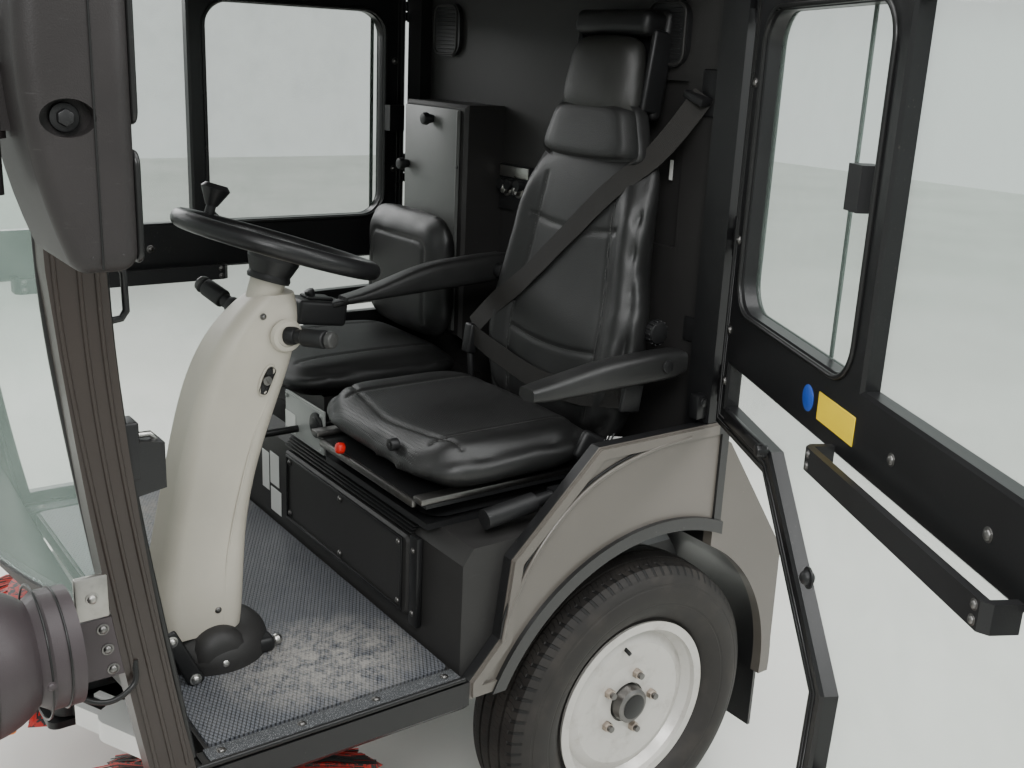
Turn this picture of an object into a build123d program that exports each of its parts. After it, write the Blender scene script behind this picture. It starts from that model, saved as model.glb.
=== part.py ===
from build123d import *
from math import asin, cos, degrees, hypot, radians, sin, sqrt
import os

# Front module of a compact road sweeper: the driver's cab on its steered front axle, with two side brooms.
# Millimetres. x runs rearwards from the front axle, y to the vehicle's right and z up from the ground.

# Driving sizes of the cab
HALF = 600  # half the cab's width over its pillars
ROOF_Z = 1830

# Chassis
MOUNT_X = 480  # rear face of the flange where the sweeper's rear half bolts on
RAIL_Z = 430
RAIL_Y = 205
RAIL_W = 60
RAIL_H = 100
RAIL_FRONT = -900
CROSS_W = 60
FLANGE_T = 15
FLANGE_SPAN = 590
FLANGE_H = 160
BOLT_SPAN_Y = 530
BOLT_SPAN_Z = 100
BOLT_HOLE_R = 8.5
PAD_SIZE = 70
PAD_XS = (-760, 60)

# Wheels and steering
WHEEL_R = 325
WHEEL_Z = 318
TYRE_W = 185
GROOVE_YS = (-33, 0, 33)
GROOVE_W = 7
GROOVE_DEEP = 7
WHEEL_Y = HALF - 100
RIM_R = 177.8  # 14 inch bead seat
RIM_W = 144
RIM_FLANGE = 17
RIM_T = 5
STUD_PCD = 134
STUD_R = 7
KINGPIN_Y = WHEEL_Y - 70
KINGPIN_R = 11
YOKE_R = 20
STEER_ARM = 105
TIE_ROD_Z = 272
AXLE_Z = 285
AXLE_SIZE = 70
SPRING_HALF = 300
LEAF_T = 7
EAR_T = 6
PIN_R = 8
PIN_GAP = 0.05

# Cab shell
FLOOR_Z = 535
FLOOR_T = 35
FLOOR_FRONT = -918
SILL_W = 50
SILL_H = 65
SILL_FRONT = -1012
BOX_FRONT = -450
BOX_TOP = 785
REAR_X = 140
WALL_T = 32
ROOF_T = 110
PILLAR_W = 50
SKIN_T = 25
ARCH_R = 412
ARCH_Y = WHEEL_Y - 245
GLASS_T = 6
GLASS_BOTTOM = 820
GLASS_SAG = 117
MAT_T = 6

# The front pillar in side view: x at five heights on its rear and front edges
BROW_Z = ROOF_Z - 230
PILLAR_REAR = ((-950, FLOOR_Z), (-1022, 1022), (-1044, 1340), (-1030, BROW_Z), (-985, ROOF_Z))
PILLAR_FRONT = ((-1017, FLOOR_Z), (-1088, 1022), (-1119, 1340), (-1105, BROW_Z), (-1057, ROOF_Z))

# Doors: rear-hung, their frames lie outside the pillars
HINGE_X = 120
HINGE_Y = HALF + 19
HINGE_R = 10
DOOR_GAP = 3
DOOR_T = 28
DOOR_OPEN = 62  # degrees that the left door stands open
DOOR_BAR = 48
DOOR_BOTTOM = 520
DOOR_TOP = ROOF_Z - 8
DOOR_STILE = 85
DOOR_EDGE = 5  # bevel round the inside of the frame and its windows
WINDOW_LOW = 1200
WINDOW_HIGH = DOOR_TOP - 102
HINGE_ZS = (1030, 1320, DOOR_TOP - 82)
RAIL_LOW = 1085
MULLION_X = (-445, -490)
PANE_T = 5
PANE_LAP = 14

# Driver's place
SEAT_Y = 340 - HALF
CUSHION_TOP = 940
CUSHION_REAR = -82
BACK_TILT = 8
WHEEL_TILT = 17
STEER_C = (-649, SEAT_Y + 10, 1291)
STEER_R = 170
STEER_GRIP = 16
HUB_DROP = 58  # from the rim's plane down to the underside of the wheel's hub
SHAFT_R = 12
COLUMN_W = 118
COLUMN_FOOT_Z = 600
# Level sections of the column's case: height, front x, rear x, width and corner radius
COLUMN_SECTIONS = (
    (COLUMN_FOOT_Z, -904, -750, COLUMN_W, 34),
    (740, -892, -738, COLUMN_W, 34),
    (960, -842, -692, COLUMN_W - 2, 30),
    (1130, -776, -632, COLUMN_W - 6, 32),
    (1208, -700, -626, 76, 30),
)
STALK_AT = (-662, 1140)
STALK_BOSS_R = 25

# Side brooms
BROOM_PIVOT = (-1030, -130)
BROOM_C = (-870, -455)
ARM_Z = 440
ARM_H = 40
ARM_W = 84
BROOM_R = 390
DISC_R = 140
DISC_Z = 372
BRISTLE_Z = 245
TUFTS = 22
LIFT_AT = 75
PIVOT_EDGE = 30  # how far the bracket's plates reach past each swing pin

SIDES = ("left", "right")
TO_MOUNT = Location((-MOUNT_X, 0, -RAIL_Z))

os.makedirs("parts", exist_ok=True)


def write(part, name):
    """Move a finished piece to the mount's frame and write its STEP file."""
    placed = part.moved(TO_MOUNT)
    placed.label = name
    export_step(placed, f"parts/{name}.step")


def on_side(part, side):
    """A left-hand piece as it is, or mirrored for the right."""
    return part if side == "left" else part.mirror(Plane.XZ)


def arc_x(points, z):
    """x at height z on the circle through three (x, z) points."""
    (x1, z1), (x2, z2), (x3, z3) = points
    d = 2 * (x1 * (z2 - z3) + x2 * (z3 - z1) + x3 * (z1 - z2))
    s1, s2, s3 = x1**2 + z1**2, x2**2 + z2**2, x3**2 + z3**2
    cx = (s1 * (z2 - z3) + s2 * (z3 - z1) + s3 * (z1 - z2)) / d
    cz = (s1 * (x3 - x2) + s2 * (x1 - x3) + s3 * (x2 - x1)) / d
    reach = sqrt(hypot(x1 - cx, z1 - cz) ** 2 - (z - cz) ** 2)
    return cx + reach if x1 > cx else cx - reach


def pillar_x(edge, z):
    """x of one edge of the front pillar at height z."""
    return arc_x(edge[:3] if z <= edge[2][1] else edge[2:], z)


# Side profiles lie on the XZ plane, whose normal is -Y: a positive extrusion goes to the left.
def side_plane(y):
    return Plane(origin=(0, y, 0), x_dir=(1, 0, 0), z_dir=(0, -1, 0))


# The frame: two rails, a rear flange, a front crossmember and the brooms' bracket
pad_h = FLOOR_Z - FLOOR_T - (RAIL_Z + RAIL_H / 2)
rail_len = MOUNT_X - FLANGE_T - RAIL_FRONT
spring_eye_z = AXLE_Z + AXLE_SIZE / 2 + 34
bracket_front = BROOM_PIVOT[0] - 40
with BuildSketch(side_plane(0)) as hanger:
    for x in (-SPRING_HALF, SPRING_HALF):
        with BuildLine():
            Polyline(
                (x - 34, RAIL_Z - 20),
                (x + 34, RAIL_Z - 20),
                (x + 16, spring_eye_z - 20),
                (x - 16, spring_eye_z - 20),
                close=True,
            )
        make_face()
with BuildPart() as frame:
    with BuildSketch(Plane.YZ.offset(RAIL_FRONT)):
        with Locations((-RAIL_Y, RAIL_Z), (RAIL_Y, RAIL_Z)):
            Rectangle(RAIL_W, RAIL_H)
            Rectangle(RAIL_W - 12, RAIL_H - 12, mode=Mode.SUBTRACT)
    extrude(amount=rail_len)
    with BuildSketch(Plane.YZ.offset(MOUNT_X - FLANGE_T)):
        with Locations((0, RAIL_Z)):
            RectangleRounded(FLANGE_SPAN, FLANGE_H, 20)
        with Locations((0, RAIL_Z)):
            with GridLocations(BOLT_SPAN_Y, BOLT_SPAN_Z, 2, 2):
                Circle(BOLT_HOLE_R, mode=Mode.SUBTRACT)
    extrude(amount=FLANGE_T)
    for cross_x in (RAIL_FRONT + CROSS_W / 2, -SPRING_HALF - 130, MOUNT_X - 150):
        with Locations((cross_x, 0, RAIL_Z)):
            Box(CROSS_W, 2 * RAIL_Y - RAIL_W, RAIL_H - 20)
    with Locations(*[(x, y, RAIL_Z + RAIL_H / 2) for x in PAD_XS for y in (-RAIL_Y, RAIL_Y)]):
        Box(PAD_SIZE, RAIL_W, pad_h, align=(Align.CENTER, Align.CENTER, Align.MIN))
    # Spring hangers: an ear on each side of the rail and a pin at each eye
    for y in (-RAIL_Y, RAIL_Y):
        for ear in (y + RAIL_W / 2 + EAR_T, y - RAIL_W / 2):
            extrude(hanger.sketch.moved(Location((0, ear, 0))), amount=EAR_T)
        for x in (-SPRING_HALF, SPRING_HALF):
            with Locations(Location((x, y, spring_eye_z), (90, 0, 0))):
                Cylinder(PIN_R, RAIL_W + 4 * EAR_T)
    # The bracket that carries both broom arms, ahead of the crossmember
    for plate_z in (ARM_Z - ARM_H / 2 - 12, ARM_Z + ARM_H / 2 + 12):
        with BuildSketch(Plane.XY.offset(plate_z - 7)):
            with Locations(((RAIL_FRONT + bracket_front) / 2, 0)):
                RectangleRounded(RAIL_FRONT - bracket_front + 1, 2 * (PIVOT_EDGE - BROOM_PIVOT[1]), 18)
        extrude(amount=14)
    with Locations(((RAIL_FRONT + bracket_front) / 2, 0, ARM_Z)):
        Box(RAIL_FRONT - bracket_front, 130, ARM_H + 20)
    with Locations((BROOM_PIVOT[0], -BROOM_PIVOT[1], ARM_Z), (*BROOM_PIVOT, ARM_Z)):
        Cylinder(12, ARM_H + 60)
write(frame.part, "chassis_frame")

# Front axle: a dropped beam with a yoke and kingpin at each end, on two leaf springs
yoke_half = 84
knuckle_half = 62
with BuildPart() as axle:
    with Locations((0, 0, AXLE_Z)):
        Box(AXLE_SIZE, 2 * KINGPIN_Y - 120, AXLE_SIZE)
    yoke_y = -KINGPIN_Y + 60
    for low in (WHEEL_Z - yoke_half, WHEEL_Z + knuckle_half + 1):
        with BuildSketch(Plane.XY.offset(low)):
            with Locations((0, -KINGPIN_Y)):
                Circle(YOKE_R)
            with BuildLine():
                Polyline(
                    (-YOKE_R, -KINGPIN_Y), (YOKE_R, -KINGPIN_Y), (34, yoke_y), (-34, yoke_y), close=True
                )
            make_face()
        extrude(amount=yoke_half - knuckle_half - 1)
    with Locations((0, yoke_y, WHEEL_Z)):
        Box(68, 24, 2 * yoke_half, align=(Align.CENTER, Align.MIN, Align.CENTER))
    with Locations((0, -RAIL_Y, AXLE_Z + AXLE_SIZE / 2)):
        Box(AXLE_SIZE + 24, RAIL_W, 3 * LEAF_T, align=(Align.CENTER, Align.CENTER, Align.MIN))
    with Locations((0, -KINGPIN_Y, WHEEL_Z)):
        Cylinder(KINGPIN_R, 2 * yoke_half + 16)
    # Leaf pack: three leaves that rise to an eye at each end
    for leaf, (half, rise) in enumerate(((SPRING_HALF, 34), (230, 22), (160, 12))):
        low = AXLE_Z + AXLE_SIZE / 2 + (2 - leaf) * LEAF_T
        with BuildSketch(side_plane(-RAIL_Y + RAIL_W / 2 - 5)):
            with BuildLine():
                lower = ThreePointArc((-half, low + rise - 14), (0, low), (half, low + rise - 14))
                upper = ThreePointArc(
                    (-half, low + rise - 14 + LEAF_T), (0, low + LEAF_T), (half, low + rise - 14 + LEAF_T)
                )
                Line(lower @ 0, upper @ 0)
                Line(lower @ 1, upper @ 1)
            make_face()
        extrude(amount=RAIL_W - 10)
    for x in (-SPRING_HALF, SPRING_HALF):
        with BuildSketch(side_plane(-RAIL_Y + RAIL_W / 2 - 5)):
            with Locations((x, spring_eye_z)):
                Circle(15)
        extrude(amount=RAIL_W - 10)
        with BuildSketch(side_plane(-RAIL_Y + RAIL_W / 2 - 5)):
            with Locations((x, spring_eye_z)):
                Circle(PIN_R + 0.2)
        extrude(amount=RAIL_W - 10, mode=Mode.SUBTRACT)
    mirror(about=Plane.XZ)
write(axle.part, "front_axle")

# Knuckles, wheels and tie rod
knuckle_z = (WHEEL_Z - knuckle_half, WHEEL_Z + knuckle_half)
arm_low = TIE_ROD_Z + 14
plate_y = -KINGPIN_Y - 32
drum_y = plate_y - 6
face_y = -WHEEL_Y - 42  # where the wheel's disc bolts to the hub
wheel_plane = Plane(origin=(0, 0, WHEEL_Z), x_dir=(0, -1, 0), z_dir=(1, 0, 0))
for side in SIDES:
    with BuildPart() as knuckle:
        with Locations((0, -KINGPIN_Y, WHEEL_Z)):
            Cylinder(24, 2 * knuckle_half)
        with Locations((STEER_ARM / 2, -KINGPIN_Y, arm_low + 8)):
            Box(STEER_ARM, 26, 16)
        with Locations((STEER_ARM, -KINGPIN_Y, arm_low + 8)):
            Cylinder(15, 16)
        with Locations((STEER_ARM, -KINGPIN_Y, TIE_ROD_Z)):
            Cylinder(7, 34)
        with BuildSketch(side_plane(-KINGPIN_Y)):
            with Locations((0, WHEEL_Z)):
                Circle(20)
        extrude(amount=-(face_y + KINGPIN_Y) - 12)
        with BuildSketch(side_plane(plate_y + 4)):
            with Locations((0, WHEEL_Z)):
                Circle(112)
        extrude(amount=4)
        with BuildSketch(side_plane(-KINGPIN_Y)):
            with Locations((0, WHEEL_Z)):
                Circle(34)
        extrude(amount=-(plate_y + KINGPIN_Y))
        with Locations((0, -KINGPIN_Y, WHEEL_Z)):
            Cylinder(KINGPIN_R + PIN_GAP, 2 * knuckle_half, mode=Mode.SUBTRACT)
    write(on_side(knuckle.part, side), f"knuckle_{side}")

    with BuildPart() as hub:
        with BuildSketch(wheel_plane):
            with BuildLine():
                Polyline(
                    (-drum_y, 20 + PIN_GAP),
                    (-drum_y, 116),
                    (-face_y - 14, 116),
                    (-face_y - 8, 108),
                    (-face_y, 88),
                    (-face_y, 42),
                    (-face_y + 26, 38),
                    (-face_y + 30, 32),
                    (-face_y + 30, 0),
                    (-face_y - 9, 0),
                    (-face_y - 9, 20 + PIN_GAP),
                    close=True,
                )
            make_face()
        revolve(axis=Axis((0, 0, WHEEL_Z), (0, -1, 0)))
        with BuildSketch(side_plane(face_y)):
            with Locations((0, WHEEL_Z)):
                with PolarLocations(STUD_PCD / 2, 5):
                    Circle(STUD_R)
        extrude(amount=26)
    write(on_side(hub.part, side), f"hub_{side}")

    # Rim and disc in one turned section, then the stud holes
    out_y = WHEEL_Y + RIM_W / 2
    in_y = WHEEL_Y - RIM_W / 2
    with BuildPart() as rim:
        with BuildSketch(wheel_plane):
            with BuildLine():
                Polyline(
                    (out_y, RIM_R + RIM_FLANGE),
                    (out_y - 8, RIM_R + RIM_FLANGE - 2),
                    (out_y - 12, RIM_R),
                    (out_y - 42, RIM_R - 2),
                    (out_y - 54, RIM_R - 20),
                    (in_y + 44, RIM_R - 20),
                    (in_y + 34, RIM_R - 2),
                    (in_y + 12, RIM_R),
                    (in_y + 8, RIM_R + RIM_FLANGE - 2),
                    (in_y, RIM_R + RIM_FLANGE),
                    (in_y, RIM_R - RIM_T),
                    (in_y + 36, RIM_R - RIM_T - 2),
                    (in_y + 44, RIM_R - 20 - RIM_T),
                    (out_y - 50, RIM_R - 20 - RIM_T),
                    (out_y - 36, RIM_R - RIM_T - 26),
                    (-face_y, 92),
                    (-face_y, 45),
                    (-face_y + 6, 45),
                    (-face_y + 6, 88),
                    (out_y - 20, 116),
                    (out_y - 18, 138),
                    (out_y - 28, RIM_R - RIM_T - 12),
                    (out_y - 10, RIM_R - RIM_T),
                    (out_y, RIM_R - RIM_T + 3),
                    close=True,
                )
            make_face()
        revolve(axis=Axis((0, 0, WHEEL_Z), (0, -1, 0)))
        with BuildSketch(side_plane(face_y)):
            with Locations((0, WHEEL_Z)):
                with PolarLocations(STUD_PCD / 2, 5):
                    Circle(STUD_R + 0.4)
        extrude(amount=6, mode=Mode.SUBTRACT)
    write(on_side(rim.part, side), f"rim_{side}")

    # Tyre: crowned tread with three grooves round it, bulged walls and a bead on each flange
    half_w = TYRE_W / 2
    bead = RIM_R + 0.4
    bead_w = RIM_W / 2 - 12.5
    with BuildPart() as tyre:
        with BuildSketch(wheel_plane):
            with BuildLine():
                tread = ThreePointArc(
                    (WHEEL_Y - half_w + 26, WHEEL_R - 8),
                    (WHEEL_Y, WHEEL_R),
                    (WHEEL_Y + half_w - 26, WHEEL_R - 8),
                )
                outer = ThreePointArc(
                    tread @ 1, (WHEEL_Y + half_w, WHEEL_R - 66), (WHEEL_Y + bead_w, bead + 18)
                )
                inner = ThreePointArc(
                    tread @ 0, (WHEEL_Y - half_w, WHEEL_R - 66), (WHEEL_Y - bead_w, bead + 18)
                )
                Line(outer @ 1, (WHEEL_Y + bead_w, bead))
                Line(inner @ 1, (WHEEL_Y - bead_w, bead))
                Line((WHEEL_Y + bead_w, bead), (WHEEL_Y + bead_w - 16, bead))
                Line((WHEEL_Y - bead_w, bead), (WHEEL_Y - bead_w + 16, bead))
                Polyline(
                    (WHEEL_Y + bead_w - 16, bead),
                    (WHEEL_Y + half_w - 21, WHEEL_R - 70),
                    (WHEEL_Y + half_w - 37, WHEEL_R - 27),
                    (WHEEL_Y - half_w + 37, WHEEL_R - 27),
                    (WHEEL_Y - half_w + 21, WHEEL_R - 70),
                    (WHEEL_Y - bead_w + 16, bead),
                )
            make_face()
        revolve(axis=Axis((0, 0, WHEEL_Z), (0, -1, 0)))
        with BuildSketch(wheel_plane):
            with Locations(*[(WHEEL_Y + y, WHEEL_R) for y in GROOVE_YS]):
                Rectangle(GROOVE_W, 2 * GROOVE_DEEP)
        revolve(axis=Axis((0, 0, WHEEL_Z), (0, -1, 0)), mode=Mode.SUBTRACT)
    write(on_side(tyre.part, side), f"tyre_{side}")

with BuildPart() as tie_rod:
    with BuildSketch(side_plane(KINGPIN_Y - 10)):
        with Locations((STEER_ARM, TIE_ROD_Z)):
            Circle(9)
    extrude(amount=2 * KINGPIN_Y - 20)
    with Locations((STEER_ARM, -KINGPIN_Y, TIE_ROD_Z), (STEER_ARM, KINGPIN_Y, TIE_ROD_Z)):
        Cylinder(14, 20)
        Cylinder(7 + PIN_GAP, 20, mode=Mode.SUBTRACT)
write(tie_rod.part, "tie_rod")

# Cab floor, open over the wheels
with BuildPart() as floor_pan:
    with BuildSketch(Plane.XY.offset(FLOOR_Z - FLOOR_T)):
        with BuildLine():
            Polyline(
                (FLOOR_FRONT, -HALF + SILL_W),
                (FLOOR_FRONT, HALF - SILL_W),
                (REAR_X + WALL_T, HALF - SILL_W),
                (REAR_X + WALL_T, -HALF + SILL_W),
                close=True,
            )
        make_face()
    extrude(amount=FLOOR_T)
    for y in (ARCH_Y, -ARCH_Y - HALF):
        with BuildSketch(side_plane(y + HALF)):
            with Locations((0, WHEEL_Z)):
                Circle(ARCH_R)
        extrude(amount=HALF, mode=Mode.SUBTRACT)
write(floor_pan.part, "floor_pan")

mat_gap = 6
with BuildPart() as mat:
    with BuildSketch(Plane.XY.offset(FLOOR_Z)):
        with Locations(((FLOOR_FRONT + BOX_FRONT) / 2, 0)):
            RectangleRounded(BOX_FRONT - FLOOR_FRONT - 2 * mat_gap, 2 * (HALF - SILL_W - mat_gap), 12)
    extrude(amount=MAT_T)
write(mat.part, "floor_mat")

# Door sills with a raised tread strip
wing_front = -444
with BuildPart() as sills:
    sill_mid = (SILL_FRONT + wing_front) / 2
    with Locations((sill_mid, -HALF + SILL_W / 2, FLOOR_Z - SILL_H / 2)):
        Box(wing_front - SILL_FRONT, SILL_W, SILL_H)
    chamfer(sills.edges().filter_by(Axis.X).group_by(Axis.Z)[0].sort_by(Axis.Y)[0], 18)
    with Locations((sill_mid + 30, -HALF + SILL_W / 2 + 2, FLOOR_Z)):
        Box(wing_front - SILL_FRONT - 90, SILL_W - 10, 4, align=(Align.CENTER, Align.CENTER, Align.MIN))
    mirror(about=Plane.XZ)
write(sills.part, "door_sills")

# The seat box carries both seats and bridges the wheels
with BuildPart() as seat_box:
    with BuildSketch(side_plane(HALF - SKIN_T - 1)):
        with BuildLine():
            Polyline(
                (BOX_FRONT, FLOOR_Z),
                (BOX_FRONT, BOX_TOP - 30),
                (BOX_FRONT + 22, BOX_TOP),
                (REAR_X + WALL_T, BOX_TOP),
                (REAR_X + WALL_T, FLOOR_Z),
                close=True,
            )
        make_face()
    extrude(amount=2 * (HALF - SKIN_T - 1))
    for y in (ARCH_Y, -ARCH_Y - HALF):
        with BuildSketch(side_plane(y + HALF)):
            with Locations((0, WHEEL_Z)):
                Circle(ARCH_R)
        extrude(amount=HALF, mode=Mode.SUBTRACT)
write(seat_box.part, "seat_box")

# Raised access panel on the seat box's front
HATCH_Y = (-405, 150)
HATCH_Z = (582, 748)
with BuildPart() as hatch:
    with BuildSketch(Plane.YZ.offset(BOX_FRONT - 14)):
        with Locations((sum(HATCH_Y) / 2, sum(HATCH_Z) / 2)):
            RectangleRounded(HATCH_Y[1] - HATCH_Y[0], HATCH_Z[1] - HATCH_Z[0], 14)
    extrude(amount=14)
    chamfer(hatch.faces().sort_by(Axis.X)[0].edges(), 5)
write(hatch.part, "seat_box_hatch")

# Side panels over the wheels, behind the doors' lower edges
WING_TOP = 940
wing_rear = REAR_X + WALL_T
arch_foot = FLOOR_Z - FLOOR_T
arch_foot_x = -sqrt(ARCH_R**2 - (arch_foot - WHEEL_Z) ** 2)
arch_rear_z = WHEEL_Z + sqrt(ARCH_R**2 - wing_rear**2)
with BuildSketch(Plane.XY) as wing_outline:
    with BuildLine():
        Polyline(
            (arch_foot_x, arch_foot),
            (wing_front, arch_foot),
            (wing_front, FLOOR_Z),
            (-381, 603),
            (-362, 757),
            (-172, WING_TOP),
            (wing_rear, WING_TOP),
            (wing_rear, arch_rear_z),
        )
        ThreePointArc((wing_rear, arch_rear_z), (0, WHEEL_Z + ARCH_R), (arch_foot_x, arch_foot))
    make_face()
for side in SIDES:
    with BuildPart() as wing:
        with BuildSketch(side_plane(-HALF + SKIN_T)):
            add(wing_outline.sketch)
        extrude(amount=SKIN_T)
    write(on_side(wing.part, side), f"wing_{side}")

# Black edging round each arch and round each panel, standing proud of it
TRIM_W = 26
TRIM_T = 10
EDGING = (4, 24)  # how far the panel's edging starts and ends inside the panel's outline
EDGING_T = 6
edging_outer, edging_inner = (offset(wing_outline.sketch, -d, kind=Kind.INTERSECTION) for d in EDGING)
with BuildPart() as trims:
    with BuildSketch(side_plane(-HALF)):
        with BuildLine():
            rim_arc = ThreePointArc(
                (wing_rear, arch_rear_z), (0, WHEEL_Z + ARCH_R), (arch_foot_x, arch_foot)
            )
            far = ARCH_R + TRIM_W
            far_rear = (wing_rear, WHEEL_Z + sqrt(far**2 - wing_rear**2))
            far_foot = (-sqrt(far**2 - (arch_foot - WHEEL_Z) ** 2), arch_foot)
            ThreePointArc(far_rear, (0, WHEEL_Z + far), far_foot)
            Line(rim_arc @ 0, far_rear)
            Line(rim_arc @ 1, far_foot)
        make_face()
    extrude(amount=TRIM_T)
    with BuildSketch(side_plane(-HALF)):
        add(edging_outer)
        add(edging_inner, mode=Mode.SUBTRACT)
    extrude(amount=EDGING_T)
    mirror(about=Plane.XZ)
write(trims.part, "arch_trims")

# Mudguards behind the front wheels, each with a rubber flap and a stay on the frame rail
GUARD_R = 378
GUARD_X = wing_rear + 1
GUARD_IN = WHEEL_Y - 170
GUARD_T = 30
guard_out = HALF - 18
guard_low = 285
guard_top = WHEEL_Z + sqrt((GUARD_R + GUARD_T) ** 2 - GUARD_X**2)
with BuildPart() as guards:
    foot_x = sqrt(GUARD_R**2 - (guard_low - WHEEL_Z) ** 2)
    inner_top = WHEEL_Z + sqrt(GUARD_R**2 - GUARD_X**2)
    mid = radians(30)
    with BuildSketch(side_plane(-GUARD_IN)):
        with BuildLine():
            curve = ThreePointArc(
                (foot_x, guard_low),
                (GUARD_R * cos(mid), WHEEL_Z + GUARD_R * sin(mid)),
                (GUARD_X, inner_top),
            )
            over = ThreePointArc(
                (foot_x + GUARD_T, guard_low),
                ((GUARD_R + GUARD_T) * cos(mid), WHEEL_Z + (GUARD_R + GUARD_T) * sin(mid)),
                (GUARD_X, guard_top),
            )
            Line(curve @ 0, over @ 0)
            Line(curve @ 1, over @ 1)
        make_face()
    extrude(amount=guard_out - GUARD_IN)
    # Outer face that rises beside the cab's rear corner
    with BuildSketch(side_plane(-guard_out + SKIN_T)):
        with BuildLine():
            Polyline(
                over @ 1,
                (GUARD_X, 900),
                (GUARD_X + 30, 880),
                (400, 600),
                (foot_x + GUARD_T, guard_low),
            )
            ThreePointArc(over @ 0, over @ 0.5, over @ 1)
        make_face()
    extrude(amount=SKIN_T)
    with Locations((foot_x + 12, -(GUARD_IN + guard_out) / 2, guard_low)):
        Box(8, guard_out - GUARD_IN - 40, 150, align=(Align.CENTER, Align.CENTER, Align.MAX))
    stay_x = foot_x + GUARD_T / 2
    stay_y = RAIL_Y + RAIL_W / 2
    with Locations((stay_x, -stay_y, RAIL_Z - 30)):
        Box(24, GUARD_IN - stay_y + 20, 40, align=(Align.CENTER, Align.MAX, Align.CENTER))
    mirror(about=Plane.XZ)
write(guards.part, "mudguards")

# Pillars, rear wall and roof
pillar_x0 = HINGE_X - 12
lap = SKIN_T + 1
with BuildPart() as pillars:
    with BuildSketch(side_plane(-HALF + PILLAR_W)):
        with BuildLine():
            ThreePointArc(*PILLAR_REAR[:3])
            ThreePointArc(*PILLAR_REAR[2:])
            ThreePointArc(*PILLAR_FRONT[:3])
            ThreePointArc(*PILLAR_FRONT[2:])
            Line(PILLAR_REAR[0], PILLAR_FRONT[0])
            Line(PILLAR_REAR[-1], PILLAR_FRONT[-1])
        make_face()
    extrude(amount=PILLAR_W)
    with Locations((pillar_x0, -HALF, BOX_TOP)):
        Box(REAR_X + WALL_T - pillar_x0, PILLAR_W + 15, ROOF_Z - BOX_TOP,
            align=(Align.MIN, Align.MIN, Align.MIN))
    with Locations((pillar_x0, -HALF, BOX_TOP)):
        Box(REAR_X + WALL_T - pillar_x0, lap, WING_TOP + 2 - BOX_TOP,
            align=(Align.MIN, Align.MIN, Align.MIN), mode=Mode.SUBTRACT)
    mirror(about=Plane.XZ)
write(pillars.part, "pillars")

wall_half = HALF - PILLAR_W - 15.5
with BuildPart() as rear_wall:
    with Locations((REAR_X, 0, BOX_TOP)):
        Box(WALL_T, 2 * wall_half, ROOF_Z - BOX_TOP, align=(Align.MIN, Align.CENTER, Align.MIN))
    with Locations((REAR_X, -345, 1430)):
        Box(12, 170, 330, align=(Align.MIN, Align.CENTER, Align.CENTER), mode=Mode.SUBTRACT)
write(rear_wall.part, "rear_wall")


def screen_band(z, inset, thick):
    """Plan section of the curved front glass at height z: outer and inner arcs between the pillars."""
    end = pillar_x(PILLAR_FRONT, z) + inset
    half = HALF - PILLAR_W - 1
    with BuildSketch(Plane.XY.offset(z)) as band:
        with BuildLine():
            front = ThreePointArc((end, -half), (end - GLASS_SAG, 0), (end, half))
            back = ThreePointArc((end + thick, -half), (end - GLASS_SAG + thick, 0), (end + thick, half))
            Line(front @ 0, back @ 0)
            Line(front @ 1, back @ 1)
        make_face()
    return band.sketch


roof_over = 12
with BuildPart() as roof:
    roof_end = pillar_x(PILLAR_FRONT, ROOF_Z) - roof_over
    with BuildSketch(Plane.XY.offset(ROOF_Z)):
        with BuildLine():
            Polyline((roof_end, -HALF), (REAR_X + WALL_T + roof_over, -HALF))
            Line((REAR_X + WALL_T + roof_over, -HALF), (REAR_X + WALL_T + roof_over, HALF))
            Line((REAR_X + WALL_T + roof_over, HALF), (roof_end, HALF))
            ThreePointArc((roof_end, HALF), (roof_end - GLASS_SAG - 14, 0), (roof_end, -HALF))
        make_face()
    extrude(amount=ROOF_T)
    fillet(roof.edges().filter_by(Axis.Z), 60)
    fillet(roof.edges().group_by(Axis.Z)[-1], 45)
write(roof.part, "roof")

with BuildPart() as screen:
    loft([screen_band(z, 0, GLASS_T) for z in (GLASS_BOTTOM, 1080, 1340, BROW_Z, ROOF_Z - 0.5)])
write(screen.part, "windscreen")

# Sloping chin panel between the floor's front edge and the glass
CHIN_T = 24
chin_foot = FLOOR_FRONT - CHIN_T - 1
with BuildPart() as chin:
    half = HALF - PILLAR_W - 1
    with BuildSketch(Plane.XY.offset(FLOOR_Z - FLOOR_T)) as foot:
        with BuildLine():
            front = ThreePointArc((chin_foot, -half), (chin_foot - 8, 0), (chin_foot, half))
            back = ThreePointArc(
                (chin_foot + CHIN_T, -half), (chin_foot + CHIN_T - 8, 0), (chin_foot + CHIN_T, half)
            )
            Line(front @ 0, back @ 0)
            Line(front @ 1, back @ 1)
        make_face()
    loft([foot.sketch, screen_band(GLASS_BOTTOM - 0.5, -6, CHIN_T)], ruled=True)
write(chin.part, "chin_panel")

# Doors
door_in = -HALF - DOOR_GAP
door_out = door_in - DOOR_T
# Sliding panes' latch boxes: the left one on its pane, the right one on the frame behind it
LATCH_PLACES = {"left": (-390, door_out, 1470), "right": (60, door_in, 1455)}
door_rear = HINGE_X - 16
lap_x = 8


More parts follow.
